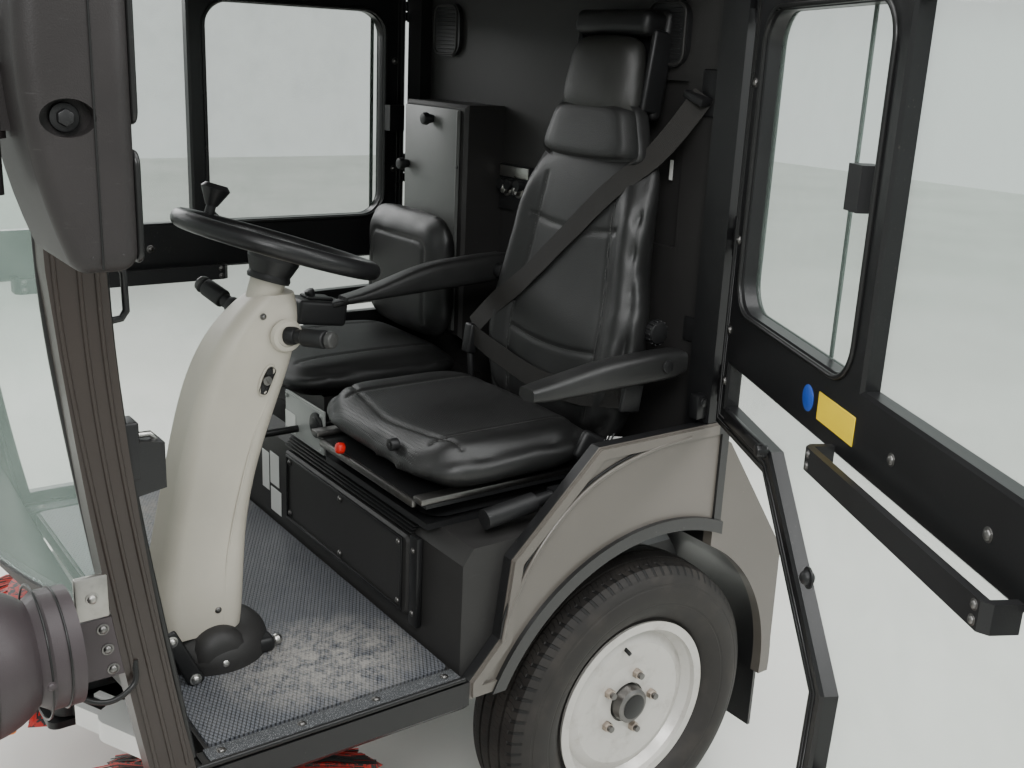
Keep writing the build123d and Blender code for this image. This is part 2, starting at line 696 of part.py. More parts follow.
def door_outline(inset=0):
    """Outline of the left door on the XZ plane, closed, shrunk by inset."""
    front = [(x - lap_x, z) for x, z in PILLAR_REAR]
    low_x = pillar_x(PILLAR_REAR, FLOOR_Z) - lap_x + 2
    top_x = pillar_x(PILLAR_REAR, DOOR_TOP) - lap_x
    with BuildSketch(Plane.XY) as outline:
        with BuildLine():
            Polyline(
                (low_x, DOOR_BOTTOM),
                (-440, DOOR_BOTTOM),
                (-450, 700),
                (-165, 950),
                (door_rear, 955),
                (door_rear, DOOR_TOP),
                (top_x, DOOR_TOP),
            )
            ThreePointArc((top_x, DOOR_TOP), front[3], front[2])
            ThreePointArc(front[2], front[1], front[0])
            Line(front[0], (low_x, DOOR_BOTTOM))
        make_face()
    return offset(outline.sketch, -inset, kind=Kind.INTERSECTION) if inset else outline.sketch


def door_cuts(grow=0):
    """The door's three glazed openings, each grown by the given lap."""
    inner = door_outline(DOOR_BAR - grow)
    low, high = WINDOW_LOW - grow, WINDOW_HIGH + grow
    back = HINGE_X - DOOR_STILE + grow
    mid_rear, mid_front = MULLION_X[0] - grow, MULLION_X[1] + grow
    rear = Pos((back + mid_rear) / 2, (low + high) / 2) * RectangleRounded(
        back - mid_rear, high - low, 60
    )
    strip = Pos(mid_front - 400, (low + high) / 2) * Rectangle(800, high - low)
    lower = Pos(0, RAIL_LOW + grow - 400) * Rectangle(2600, 800)
    return [rear, inner & strip, inner & lower]


def on_door(part, side):
    """Place a piece drawn on the closed left door: the left door stands open, the right one is shut."""
    if side == "right":
        return part.mirror(Plane.XZ)
    return part.rotate(Axis((HINGE_X, -HINGE_Y, 0), (0, 0, 1)), DOOR_OPEN)


outline_face = door_outline()
opening_faces = door_cuts()
pane_faces = door_cuts(PANE_LAP)
upright = Plane(origin=(0, door_in, 0), x_dir=(1, 0, 0), z_dir=(0, -1, 0))
outer = Plane(origin=(0, door_out, 0), x_dir=(1, 0, 0), z_dir=(0, -1, 0))
for side in SIDES:
    with BuildPart() as door:
        with BuildSketch(upright):
            add(outline_face)
            add(opening_faces, mode=Mode.SUBTRACT)
        extrude(amount=DOOR_T)
        chamfer(door.faces().sort_by(Axis.Y)[-1].edges(), DOOR_EDGE)
        # Hinge barrels on lugs, above and below each fixed barrel
        for z in HINGE_ZS:
            for barrel_z in (z - 26, z + 26):
                with Locations((HINGE_X, -HINGE_Y, barrel_z)):
                    Cylinder(HINGE_R, 22)
                with Locations((HINGE_X, -HINGE_Y, barrel_z)):
                    Box(HINGE_X - door_rear + 6, 10, 22, align=(Align.MAX, Align.CENTER, Align.CENTER))
                with Locations((HINGE_X, -HINGE_Y, barrel_z)):
                    Cylinder(5 + PIN_GAP, 22, mode=Mode.SUBTRACT)
    write(on_door(door.part, side), f"door_{side}")

    with BuildPart() as panes:
        with BuildSketch(outer):
            add(pane_faces)
        extrude(amount=PANE_T)
    write(on_door(panes.part, side), f"door_glass_{side}")

    # Grab bar across the door below the belt, and the sliding pane's latch box
    with BuildPart() as fittings:
        with BuildSketch(Plane.XY.offset(1062)):
            with BuildLine():
                Polyline(
                    (-420, door_in),
                    (-420, door_in + 34),
                    (-430, door_in + 44),
                    (-910, door_in + 44),
                    (-920, door_in + 34),
                    (-920, door_in),
                    (-908, door_in),
                    (-908, door_in + 32),
                    (-432, door_in + 32),
                    (-432, door_in),
                    close=True,
                )
            make_face()
        extrude(amount=36)
        latch_x, latch_y, latch_z = LATCH_PLACES[side]
        with Locations((latch_x, latch_y, latch_z)):
            Box(44, 34, 66, align=(Align.CENTER, Align.MIN, Align.CENTER))
    write(on_door(fittings.part, side), f"door_fittings_{side}")

# On the pillars: fixed hinge leaves, each with its barrel and pin, and the keepers of the doors' latches
KEEPER_Z = (1008, 1092)
with BuildPart() as hardware:
    for z in HINGE_ZS:
        with Locations((HINGE_X + 8, -HALF, z)):
            Box(34, 6, 60, align=(Align.MIN, Align.MAX, Align.CENTER))
        with Locations((HINGE_X, -HALF - 6, z)):
            Box(20, HINGE_Y - HALF - 2, 24, align=(Align.MIN, Align.MAX, Align.CENTER))
        with Locations((HINGE_X, -HINGE_Y, z)):
            Cylinder(HINGE_R, 24)
            Cylinder(5, 80)
    with BuildSketch(side_plane(-HALF + 40)):
        with BuildLine():
            low_x, high_x = (pillar_x(PILLAR_REAR, z) + 0.3 for z in KEEPER_Z)
            Polyline(
                (low_x, KEEPER_Z[0]),
                (low_x + 46, KEEPER_Z[0] + 8),
                (low_x + 46, KEEPER_Z[1] - 8),
                (high_x, KEEPER_Z[1]),
                close=True,
            )
        make_face()
    extrude(amount=30)
    mirror(about=Plane.XZ)
write(hardware.part, "door_hardware")

# Steering column: a moulded case that leans forward at its foot, with a boss under the wheel
tilt = radians(WHEEL_TILT)
steer_axis = Vector(sin(tilt), 0, cos(tilt))
steer_centre = Vector(*STEER_C)
steer_plane = Plane(origin=steer_centre, x_dir=(0, 1, 0), z_dir=steer_axis)
steer_line = Axis(steer_centre, steer_axis)
NECK_R = 31
with BuildPart() as column:
    for z, front_x, rear_x, width, corner in COLUMN_SECTIONS:
        with BuildSketch(Plane.XY.offset(z)):
            with Locations(((front_x + rear_x) / 2, STEER_C[1])):
                RectangleRounded(rear_x - front_x, width, corner)
    loft()
    # Bosses that carry the stalks, the neck and the shaft
    with Locations(Location((STALK_AT[0], STEER_C[1], STALK_AT[1]), (90, 0, 0))):
        Cylinder(STALK_BOSS_R, COLUMN_W)
    with BuildSketch(steer_plane.offset(-HUB_DROP - 50)):
        Circle(NECK_R)
    extrude(amount=42)
    with BuildSketch(steer_plane.offset(-HUB_DROP - 10)):
        Circle(SHAFT_R)
    extrude(amount=30)
write(column.part, "steering_column")

# Foot cover: a dome on the mat that the column stands on
FOOT_R = 106
foot_low = FLOOR_Z + MAT_T
with BuildPart() as foot_cover:
    with Locations((COLUMN_SECTIONS[0][1] + FOOT_R, STEER_C[1], foot_low)):
        Cylinder(FOOT_R, COLUMN_FOOT_Z - foot_low, align=(Align.CENTER, Align.CENTER, Align.MIN))
    fillet(foot_cover.edges().group_by(Axis.Z)[-1], 44)
write(foot_cover.part, "column_foot")

# Stalks, each with a thicker grip, on the case's bosses
STALK_LEN = 96
GRIP_LEN = 52
with BuildPart() as stalks:
    for out, swing in ((-1, 18), (1, 26)):
        root = Plane(
            origin=(STALK_AT[0], STEER_C[1] + out * COLUMN_W / 2, STALK_AT[1]),
            z_dir=(0, out, 0),
        )
        with BuildSketch(root):
            Circle(14)
        extrude(amount=18)
        tip = root.offset(12).rotated((0, out * swing, 0))
        with BuildSketch(tip):
            Circle(9)
        extrude(amount=STALK_LEN - GRIP_LEN)
        with BuildSketch(tip.offset(STALK_LEN - GRIP_LEN)):
            Circle(14)
        extrude(amount=GRIP_LEN)
write(stalks.part, "column_stalks")

# Steering wheel: a cup-shaped hub below the rim, three spokes and a spinner knob
KNOB_ANGLE = 25
KNOB_STEPS = (((0, 30), 9, 9), ((30, 62), 11, 27), ((62, 70), 27, 20))  # heights, lower and upper radius
HUB_RS = (35, 46)
SPOKE_W = 30
SPOKE_T = 9
with BuildPart() as steering:
    with BuildSketch(steer_plane.offset(-HUB_DROP)):
        Circle(HUB_RS[0])
    with BuildSketch(steer_plane.offset(-HUB_DROP / 2)):
        Circle(HUB_RS[1])
    loft()
    with BuildSketch(steer_plane.offset(-HUB_DROP / 2)):
        Circle(HUB_RS[1])
    extrude(amount=HUB_DROP / 2 - 4)
    fillet(steering.edges().group_by(steer_line)[-1], 10)
    with BuildSketch(Plane(origin=steer_centre, x_dir=(0, 1, 0), z_dir=steer_plane.x_dir.cross(steer_axis))):
        with Locations((STEER_R, 0)):
            Circle(STEER_GRIP)
    revolve(axis=steer_line)
    # Each spoke rises from the hub to the rim
    for spoke in (90, 210, 330):
        along = Vector(cos(radians(spoke)), sin(radians(spoke)), 0)
        inner, outer = (
            steer_plane.from_local_coords(along * reach + Vector(0, 0, height))
            for reach, height in ((HUB_RS[1] - 8, -18), (STEER_R, -2))
        )
        with BuildSketch(Plane(origin=inner, x_dir=steer_axis, z_dir=outer - inner)):
            Rectangle(SPOKE_T, SPOKE_W)
        extrude(amount=(outer - inner).length)
    knob_at = Vector(STEER_R * cos(radians(KNOB_ANGLE)), STEER_R * sin(radians(KNOB_ANGLE)), 0)
    for height, low_r, high_r in KNOB_STEPS:
        with BuildSketch(Plane(origin=steer_plane.from_local_coords(knob_at + Vector(0, 0, height[0])),
                               x_dir=(0, 1, 0), z_dir=steer_axis)):
            Circle(low_r)
        with BuildSketch(Plane(origin=steer_plane.from_local_coords(knob_at + Vector(0, 0, height[1])),
                               x_dir=(0, 1, 0), z_dir=steer_axis)):
            Circle(high_r)
        loft()
    with BuildSketch(steer_plane.offset(-HUB_DROP)):
        Circle(SHAFT_R + PIN_GAP)
    extrude(amount=24, mode=Mode.SUBTRACT)
write(steering.part, "steering_wheel")

# Driver's seat
cushion_low = CUSHION_TOP - 95
SUSPENSION_X = -250
PLEATS = 3
bellows_low = BOX_TOP + 12
bellows_high = cushion_low - 8
pleat = (bellows_high - bellows_low) / PLEATS
with BuildPart() as suspension:
    with Locations((SUSPENSION_X, SEAT_Y, BOX_TOP)):
        Box(420, 410, 12, align=(Align.CENTER, Align.CENTER, Align.MIN))
    # Bellows: each pleat swells to its middle
    for fold in range(PLEATS):
        low = bellows_low + fold * pleat
        for z1, z2, w1, w2 in ((low, low + pleat / 2, 366, 396), (low + pleat / 2, low + pleat, 396, 366)):
            for z, w in ((z1, w1), (z2, w2)):
                with BuildSketch(Plane.XY.offset(z)):
                    with Locations((SUSPENSION_X, SEAT_Y)):
                        RectangleRounded(w, w + 8, 40)
            loft()
    with Locations((-225, SEAT_Y, bellows_high)):
        Box(500, 450, 7.5, align=(Align.CENTER, Align.CENTER, Align.MIN))
write(suspension.part, "seat_suspension")

with BuildPart() as cushion:
    with BuildSketch(side_plane(SEAT_Y + 262)):
        with BuildLine():
            Polyline(
                (CUSHION_REAR, cushion_low),
                (-440, cushion_low),
                (-478, cushion_low + 14),
                (-502, cushion_low + 60),
                (-480, CUSHION_TOP),
                (-250, CUSHION_TOP - 8),
                (CUSHION_REAR, CUSHION_TOP - 14),
                close=True,
            )
        make_face()
    extrude(amount=524)
    fillet(cushion.edges().filter_by(GeomType.LINE).filter_by(
        lambda e: abs(e.center().X + 490) < 40 and abs(e.center().Y - SEAT_Y) > 200), 20)
write(cushion.part, "seat_cushion")

# Backrest outline: half width at heights above its foot, waisted under the shoulders
back_foot = (-70, CUSHION_TOP - 40)
back_plane = Plane(
    origin=(back_foot[0], SEAT_Y, back_foot[1]),
    x_dir=(0, 1, 0),
    z_dir=(-cos(radians(BACK_TILT)), 0, sin(radians(BACK_TILT))),
)
up_sign = 1 if back_plane.y_dir.Z > 0 else -1
BACK_T = 96
SEAT_GAP = 0.3
HEADREST = (224, 168, 78)  # width, height and thickness
HEADREST_POSTS = 44
POST_LAP = -0.3
head_top = (ROOF_Z - 146 - back_foot[1]) / cos(radians(BACK_TILT))
back_top = head_top - HEADREST[1] - HEADREST_POSTS
sideline = [(200, -42), (236, 0.28 * back_top), (200, 0.61 * back_top), (196, 0.82 * back_top), (150, back_top)]
with BuildPart() as backrest:
    with BuildSketch(back_plane):
        with BuildLine():
            right = [(w, up_sign * h) for w, h in sideline]
            left = [(-w, up_sign * h) for w, h in sideline]
            for pts in (right, left):
                ThreePointArc(pts[0], pts[1], pts[2])
                ThreePointArc(pts[2], pts[3], pts[4])
            Line(left[0], right[0])
            Line(left[4], right[4])
        make_face()
    extrude(amount=-BACK_T)
write(backrest.part, "seat_back")

with BuildPart() as headrest:
    with BuildSketch(back_plane.offset(2)):
        with Locations((0, up_sign * (head_top - HEADREST[1] / 2))):
            RectangleRounded(*HEADREST[:2], 40)
    extrude(amount=-HEADREST[2])
    fillet(headrest.faces().sort_by(Axis.X)[0].edges(), 18)
    with BuildSketch(back_plane.offset(-30)):
        with Locations((-60, up_sign * (back_top + HEADREST_POSTS / 2)), (60, up_sign * (back_top + HEADREST_POSTS / 2))):
            Rectangle(20, HEADREST_POSTS + 2 * POST_LAP)
    extrude(amount=-14)
write(headrest.part, "headrest")

ARM_IN = 250  # from the seat's middle to an armrest's inner face
REST_W = 52
REST_PIVOT_R = 14
with BuildPart() as armrests:
    for y, front_x, front_z, rear_x, rear_z in (
        (SEAT_Y - ARM_IN - REST_W, -300, 1035, 60, 1062),
        (SEAT_Y + ARM_IN, -384, 1088, 30, 1165),
    ):
        with BuildSketch(side_plane(y + REST_W)):
            with BuildLine():
                Polyline(
                    (front_x, front_z + 22),
                    (front_x + 26, front_z - 14),
                    (rear_x - 10, rear_z - 34),
                    (rear_x + 24, rear_z - 10),
                    (rear_x + 14, rear_z + 30),
                    (front_x + 30, front_z + 32),
                    close=True,
                )
            make_face()
        extrude(amount=REST_W)
    # Pivots between each armrest and the backrest's edge
    for out, pivot_x, pivot_z in ((-1, 20, 1050), (1, 0, 1150)):
        height = ((pivot_x - back_foot[0]) * sin(radians(BACK_TILT))
                  + (pivot_z - back_foot[1]) * cos(radians(BACK_TILT)))
        edge = max(arc_x(sideline[:3], height + d) for d in (-REST_PIVOT_R, 0, REST_PIVOT_R)) + SEAT_GAP
        with Locations(Location((pivot_x, SEAT_Y + out * (edge + ARM_IN) / 2, pivot_z), (90, 0, 0))):
            Cylinder(REST_PIVOT_R, ARM_IN - edge)
write(armrests.part, "armrests")

# Passenger's seat
PASS_Y = HALF - 275
PASS_BASE_H = 70
PASS_PAD_T = 84
with BuildPart() as pass_base:
    with Locations((-140, PASS_Y, BOX_TOP)):
        Box(440, 340, PASS_BASE_H, align=(Align.CENTER, Align.CENTER, Align.MIN))
write(pass_base.part, "passenger_base")

pass_low = BOX_TOP + PASS_BASE_H + SEAT_GAP
with BuildPart() as pass_seat:
    with BuildSketch(Plane.XY.offset(pass_low)):
        with Locations((-225, PASS_Y)):
            RectangleRounded(450, 430, 60)
    extrude(amount=PASS_PAD_T)
    fillet(pass_seat.edges().group_by(Axis.Z)[-1], 24)
write(pass_seat.part, "passenger_cushion")

PASS_BACK_H = 310
with BuildPart() as pass_back:
    with BuildSketch(Plane.YZ.offset(-62)):
        with Locations((PASS_Y + 30, pass_low + PASS_PAD_T + SEAT_GAP + PASS_BACK_H / 2)):
            RectangleRounded(370, PASS_BACK_H, 60)
    extrude(amount=82)
    fillet(pass_back.faces().sort_by(Axis.X)[0].edges(), 18)
write(pass_back.part, "passenger_back")

# Controls beside the driver: a console between the seats and the parking brake's lever by the door
BRAKE_Y = 60 - HALF
with BuildPart() as controls:
    with Locations((-280, 75, BOX_TOP)):
        Box(170, 90, 66, align=(Align.CENTER, Align.CENTER, Align.MIN))
    with Locations(Location((-372, 42, 822), (0, 90, 0))):
        Cylinder(12, 16)
    with Locations(Location((-450, 95, 812), (0, 90, 0))):
        Cylinder(8, 172)
    with Locations((-190, BRAKE_Y, BOX_TOP)):
        Box(90, 24, 64, align=(Align.CENTER, Align.CENTER, Align.MIN))
    with Locations(Location((-260, BRAKE_Y, 832), (0, 90 - 6, 0))):
        Cylinder(12, 150)
    with Locations(Location((-330, BRAKE_Y, 825), (0, 90 - 6, 0))):
        Cylinder(19, 110)
write(controls.part, "hand_controls")

# On the rear wall: a tall box, a switch panel and two speakers
with BuildPart() as wall_box:
    with Locations((30, PASS_Y + 7, 940)):
        Box(REAR_X - 30, 282, 570, align=(Align.MIN, Align.CENTER, Align.MIN))
    chamfer(wall_box.faces().sort_by(Axis.X)[0].edges(), 8)
write(wall_box.part, "wall_box")

with BuildPart() as wall_fittings:
    with Locations((REAR_X - 12, 122, 1322)):
        Box(12, 120, 106, align=(Align.MIN, Align.CENTER, Align.CENTER))
    for knob_y in (92, 130, 160):
        with Locations(Location((REAR_X - 20, knob_y, 1330), (0, 90, 0))):
            Cylinder(13, 18)
    with BuildSketch(Plane.YZ.offset(REAR_X - 12)):
        for y in (233 - HALF, HALF - 158):
            with Locations((y, ROOF_Z - 147)):
                RectangleRounded(118, 128, 40)
    extrude(amount=12)
write(wall_fittings.part, "wall_fittings")

# Lap and shoulder belt: pillar guide, strap across the backrest, buckle
with BuildPart() as belt:
    with Locations((20, -HALF + PILLAR_W + 15, 1500)):
        Box(90, 16, 76, align=(Align.MIN, Align.MIN, Align.MIN))
    strap_x = -92
    with BuildSketch(Plane.YZ.offset(strap_x)):
        with BuildLine():
            Polyline(
                (SEAT_Y - 240, 1560),
                (SEAT_Y - 240, 1500),
                (SEAT_Y + 240, 962),
                (SEAT_Y + 280, 962),
                (SEAT_Y + 280, 990),
                (SEAT_Y - 226, 1560),
                close=True,
            )
        make_face()
    extrude(amount=2.5)
    with BuildSketch(Plane.XY.offset(1500)):
        with BuildLine():
            Polyline(
                (strap_x, SEAT_Y - 240),
                (strap_x, SEAT_Y - 237),
                (70, 70 - HALF),
                (70, 67 - HALF),
                close=True,
            )
        make_face()
    extrude(amount=60)
    with Locations((-84, SEAT_Y + 266, 966)):
        Box(26, 30, 60, align=(Align.CENTER, Align.CENTER, Align.CENTER))
write(belt.part, "seat_belt")

# Mirrors: a boat-shaped housing clamped to a bent tube from the front pillar's head
MIRROR_REAR = -1086
MIRROR_Y = -HALF - 200
MIRROR_W = 184
MIRROR_LOW = ROOF_Z - 442
MIRROR_HIGH = ROOF_Z - 16
MIRROR_FRONT = ((-1152, MIRROR_LOW), (-1196, ROOF_Z - 190), (-1162, MIRROR_HIGH))
TUBE_X = -1212
TUBE_R = 13
CLAMP_Z = ROOF_Z - 270
RECESS = (27, 19, 20)  # half length, half height and depth of the oval over the clamp's bolt
arm_z = ROOF_Z - 105
with BuildPart() as mirrors:
    with BuildSketch(side_plane(MIRROR_Y + MIRROR_W / 2)):
        with BuildLine():
            shell = ThreePointArc(*MIRROR_FRONT)
            Polyline(shell @ 0, (MIRROR_REAR, MIRROR_LOW), (MIRROR_REAR, MIRROR_HIGH), shell @ 1)
        make_face()
    extrude(amount=MIRROR_W)
    fillet(mirrors.edges(), 22)
    with BuildSketch(side_plane(MIRROR_Y - MIRROR_W / 2 + RECESS[2])):
        with Locations((-1153, CLAMP_Z - 12)):
            Ellipse(*RECESS[:2])
    extrude(amount=RECESS[2] + 1, mode=Mode.SUBTRACT)
    with Locations((-1092, -HALF - 8, arm_z)):
        Box(60, 16, 90)
    with BuildLine():
        path = FilletPolyline(
            (-1092, -HALF - 10, arm_z),
            (TUBE_X, MIRROR_Y, arm_z),
            (TUBE_X, MIRROR_Y, CLAMP_Z - 96),
            radius=40,
        )
    with BuildSketch(Plane(origin=path @ 0, z_dir=path % 0)):
        Circle(TUBE_R)
    sweep()
    with Locations((TUBE_X, MIRROR_Y, CLAMP_Z)):
        Cylinder(TUBE_R + 6, 76)
        Box(-TUBE_X + MIRROR_REAR - 60, 30, 60, align=(Align.MIN, Align.CENTER, Align.CENTER))
    mirror(about=Plane.XZ)
write(mirrors.part, "mirrors")

# Headlamps: a pod with a domed lens and back, on a neck and a plate from each front pillar
LAMP_C = (-1215, -HALF - 40, 838)
LAMP_R = 100
LENS_SAG = 24
NECK = (16, 84, 81)  # where the neck starts and ends behind the lamp's centre, and its radius
PLATE_Z = (746, 840)
PLATE_T = 10
with BuildPart() as lamps:
    with BuildSketch(Plane(origin=LAMP_C, x_dir=(1, 0, 0), z_dir=(0, -1, 0))):
        with BuildLine():
            lens_r = (84**2 + LENS_SAG**2) / (2 * LENS_SAG)
            lens = CenterArc((-102 + lens_r, 0), lens_r, 180, -degrees(asin(84 / lens_r)))
            back = CenterArc((-40, 0), LAMP_R, 100, -55)
            Line(lens @ 1, back @ 0)
            Polyline(back @ 1, (NECK[0] + 30, NECK[2]), (NECK[1], NECK[2]), (NECK[1], 0), lens @ 0)
        make_face()
    revolve(axis=Axis(LAMP_C, (1, 0, 0)))
    with BuildSketch(side_plane(-HALF + PLATE_T)):
        with BuildLine():
            plate_front = LAMP_C[0] + NECK[1] - 2
            foot_x, head_x = (pillar_x(PILLAR_FRONT, z) - SEAT_GAP for z in PLATE_Z)
            Polyline(
                (plate_front, PLATE_Z[0]),
                (foot_x, PLATE_Z[0]),
                (head_x, PLATE_Z[1]),
                (plate_front, PLATE_Z[1]),
                close=True,
            )
        make_face()
    extrude(amount=PLATE_T)
    mirror(about=Plane.XZ)
write(lamps.part, "headlamps")

# Side brooms, drawn on the left and mirrored
arm_dir = Vector(BROOM_C[0] - BROOM_PIVOT[0], BROOM_C[1] - BROOM_PIVOT[1], 0)
arm_len = arm_dir.length
arm_plane = Plane(origin=(*BROOM_PIVOT, ARM_Z), x_dir=arm_dir, z_dir=(0, 0, 1))
for side in SIDES:
    with BuildPart() as swivel:
        with BuildSketch(arm_plane.offset(-ARM_H / 2 + 2)):
            Circle(30)
            with Locations((LIFT_AT / 2 + 6, 0)):
                Rectangle(LIFT_AT + 12, 24)
        extrude(amount=ARM_H - 4)
        with BuildSketch(arm_plane.offset(-ARM_H / 2)):
            Circle(12 + PIN_GAP)
        extrude(amount=ARM_H, mode=Mode.SUBTRACT)
        with BuildSketch(Plane(origin=arm_plane.origin, x_dir=arm_plane.x_dir, z_dir=-arm_plane.y_dir)):
            with Locations((LIFT_AT, 0)):
                Circle(8 + PIN_GAP)
        extrude(amount=20, both=True, mode=Mode.SUBTRACT)
    write(on_side(swivel.part, side), f"broom_swivel_{side}")

    with BuildPart() as arm:
        with BuildSketch(arm_plane.offset(-ARM_H / 2 + 2)):
            with Locations(((arm_len + 60 + LIFT_AT + 30) / 2, 0)):
                RectangleRounded(arm_len + 60 - LIFT_AT - 30, ARM_W, 38)
            with Locations((LIFT_AT + 25, 22), (LIFT_AT + 25, -22)):
                Rectangle(90, 14)
        extrude(amount=ARM_H)
        with BuildSketch(Plane(origin=arm_plane.origin, x_dir=arm_plane.x_dir, z_dir=-arm_plane.y_dir)):
            with Locations((LIFT_AT, 0)):
                Circle(8)
        extrude(amount=29, both=True)
        with BuildSketch(arm_plane.offset(-ARM_H / 2 - 24)):
            with Locations((arm_len, 0)):
                Circle(46)
        extrude(amount=26)
        with BuildSketch(arm_plane.offset(-ARM_H / 2 - 56)):
            with Locations((arm_len, 0)):
                Circle(14)
        extrude(amount=34)
    write(on_side(arm.part, side), f"broom_arm_{side}")

    with BuildPart() as broom:
        with BuildSketch(Plane.XY.offset(DISC_Z)):
            with Locations(BROOM_C):
                Circle(DISC_R)
                Circle(14 + PIN_GAP, mode=Mode.SUBTRACT)
        extrude(amount=16)
        for tuft in range(TUFTS):
            turn = 360 / TUFTS * tuft
            root = Plane(origin=(*BROOM_C, 0)).rotated((0, 0, turn))
            inner_r, outer_r = DISC_R - 20, BROOM_R - 8
            with BuildSketch(root.offset(DISC_Z + 2)):
                with Locations((inner_r, 0)):
                    Rectangle(30, 26)
            with BuildSketch(root.offset(BRISTLE_Z)):
                with Locations((outer_r - 12, 0)):
                    Rectangle(24, 62)
            loft()
    write(on_side(broom.part, side), f"broom_{side}")
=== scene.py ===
"""The front cab module of a compact road sweeper, dressed for its render. Metres, in the part's frame."""
import math
import random

import bmesh
import bpy
from mathutils import Matrix, Vector
from mathutils.bvhtree import BVHTree
from mathutils.kdtree import KDTree


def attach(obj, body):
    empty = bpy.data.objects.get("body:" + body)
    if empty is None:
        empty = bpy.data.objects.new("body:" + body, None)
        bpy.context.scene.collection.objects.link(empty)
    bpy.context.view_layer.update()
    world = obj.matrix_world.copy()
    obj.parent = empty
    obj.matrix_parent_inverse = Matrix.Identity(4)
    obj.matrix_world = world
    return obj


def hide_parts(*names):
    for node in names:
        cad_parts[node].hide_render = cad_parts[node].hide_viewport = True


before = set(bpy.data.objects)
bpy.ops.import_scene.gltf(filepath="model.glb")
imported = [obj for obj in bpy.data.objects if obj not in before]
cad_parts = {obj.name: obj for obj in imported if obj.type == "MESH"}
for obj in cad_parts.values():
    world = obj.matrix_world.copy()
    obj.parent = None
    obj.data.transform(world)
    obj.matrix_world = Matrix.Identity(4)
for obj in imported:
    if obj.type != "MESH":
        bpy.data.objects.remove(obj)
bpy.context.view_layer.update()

# The part's origin, seen from the point on the ground under the middle of the front axle
MOUNT = Vector((0.480, 0.0, 0.430))
TYRE_R = 0.325
AXLE_Z = 0.318
GROUND_Z = AXLE_Z - TYRE_R - MOUNT.z

# Camera, from the lines of the cab in the photograph
CAMERA_AT = Vector((-1.4511, -2.0557, 1.6264))
CAMERA_RIGHT = Vector((0.8127, -0.5810, 0.0450))
CAMERA_UP = Vector((0.1302, 0.2563, 0.9578))
LENS_MM = 38.89
SENSOR_MM = 36.0

# Doors: hinge line and the angle at which the left one stands open
HINGE = (0.120, -0.619)
DOOR_OPEN = math.radians(62)

# Seats
SEAT_Y = -0.260
BACK_FOOT = Vector((-0.070, SEAT_Y, 0.900))
BACK_TILT = math.radians(8)

# Steering wheel
STEER_C = Vector((-0.649, -0.250, 1.291))
STEER_TILT = math.radians(17)
STEER_R = 0.170
STEER_GRIP = 0.014

SIDES = (("left", -1), ("right", 1))

# Soft forms: the frames that their cloth runs for, and the smoothing steps after it
CLOTH_FRAMES = 20
EASE_STEPS = 60

# Faces that meet at more than this keep a sharp edge
SHARP_ANGLE = math.radians(38)


def add(name, data):
    """A new object of the scene, at its origin."""
    made = bpy.data.objects.new(name, data)
    bpy.context.scene.collection.objects.link(made)
    return made


def at(x, y, z):
    """A point measured from the ground under the front axle, in the part's frame."""
    return Vector((x, y, z)) - MOUNT


def on_door(x, y, z):
    """A point of the left door, given where it is when the door is shut."""
    turn = Matrix.Rotation(DOOR_OPEN, 4, "Z")
    hinge = Vector((*HINGE, 0))
    return turn @ (Vector((x, y, z)) - hinge) + hinge - MOUNT


def smoothstep(low, high, value):
    """0 below low and 1 above high, smooth between them."""
    t = min(max((value - low) / (high - low), 0.0), 1.0)
    return t * t * (3 - 2 * t)


class Shade:
    """A value that a material works out. Arithmetic on it adds Math nodes."""

    def __init__(self, finish, socket):
        self.finish = finish
        self.socket = socket

    def math(self, operation, *others):
        return self.finish.node("ShaderNodeMath", {"operation": operation}, (self, *others))

    def __add__(self, other):
        return self.math("ADD", other)

    __radd__ = __add__

    def __sub__(self, other):
        return self.math("SUBTRACT", other)

    def __rsub__(self, other):
        return self.finish.node("ShaderNodeMath", {"operation": "SUBTRACT"}, (other, self))

    def __mul__(self, other):
        return self.math("MULTIPLY", other)

    __rmul__ = __mul__

    def __truediv__(self, other):
        return self.math("DIVIDE", other)

    def __pow__(self, other):
        return self.math("POWER", other)

    def __abs__(self):
        return self.math("ABSOLUTE")

    def step(self, low, high):
        """0 below low and 1 above high, smooth between them."""
        values = {"Value": self, "From Min": low, "From Max": high}
        return self.finish.node("ShaderNodeMapRange", {"interpolation_type": "SMOOTHSTEP"}, values)


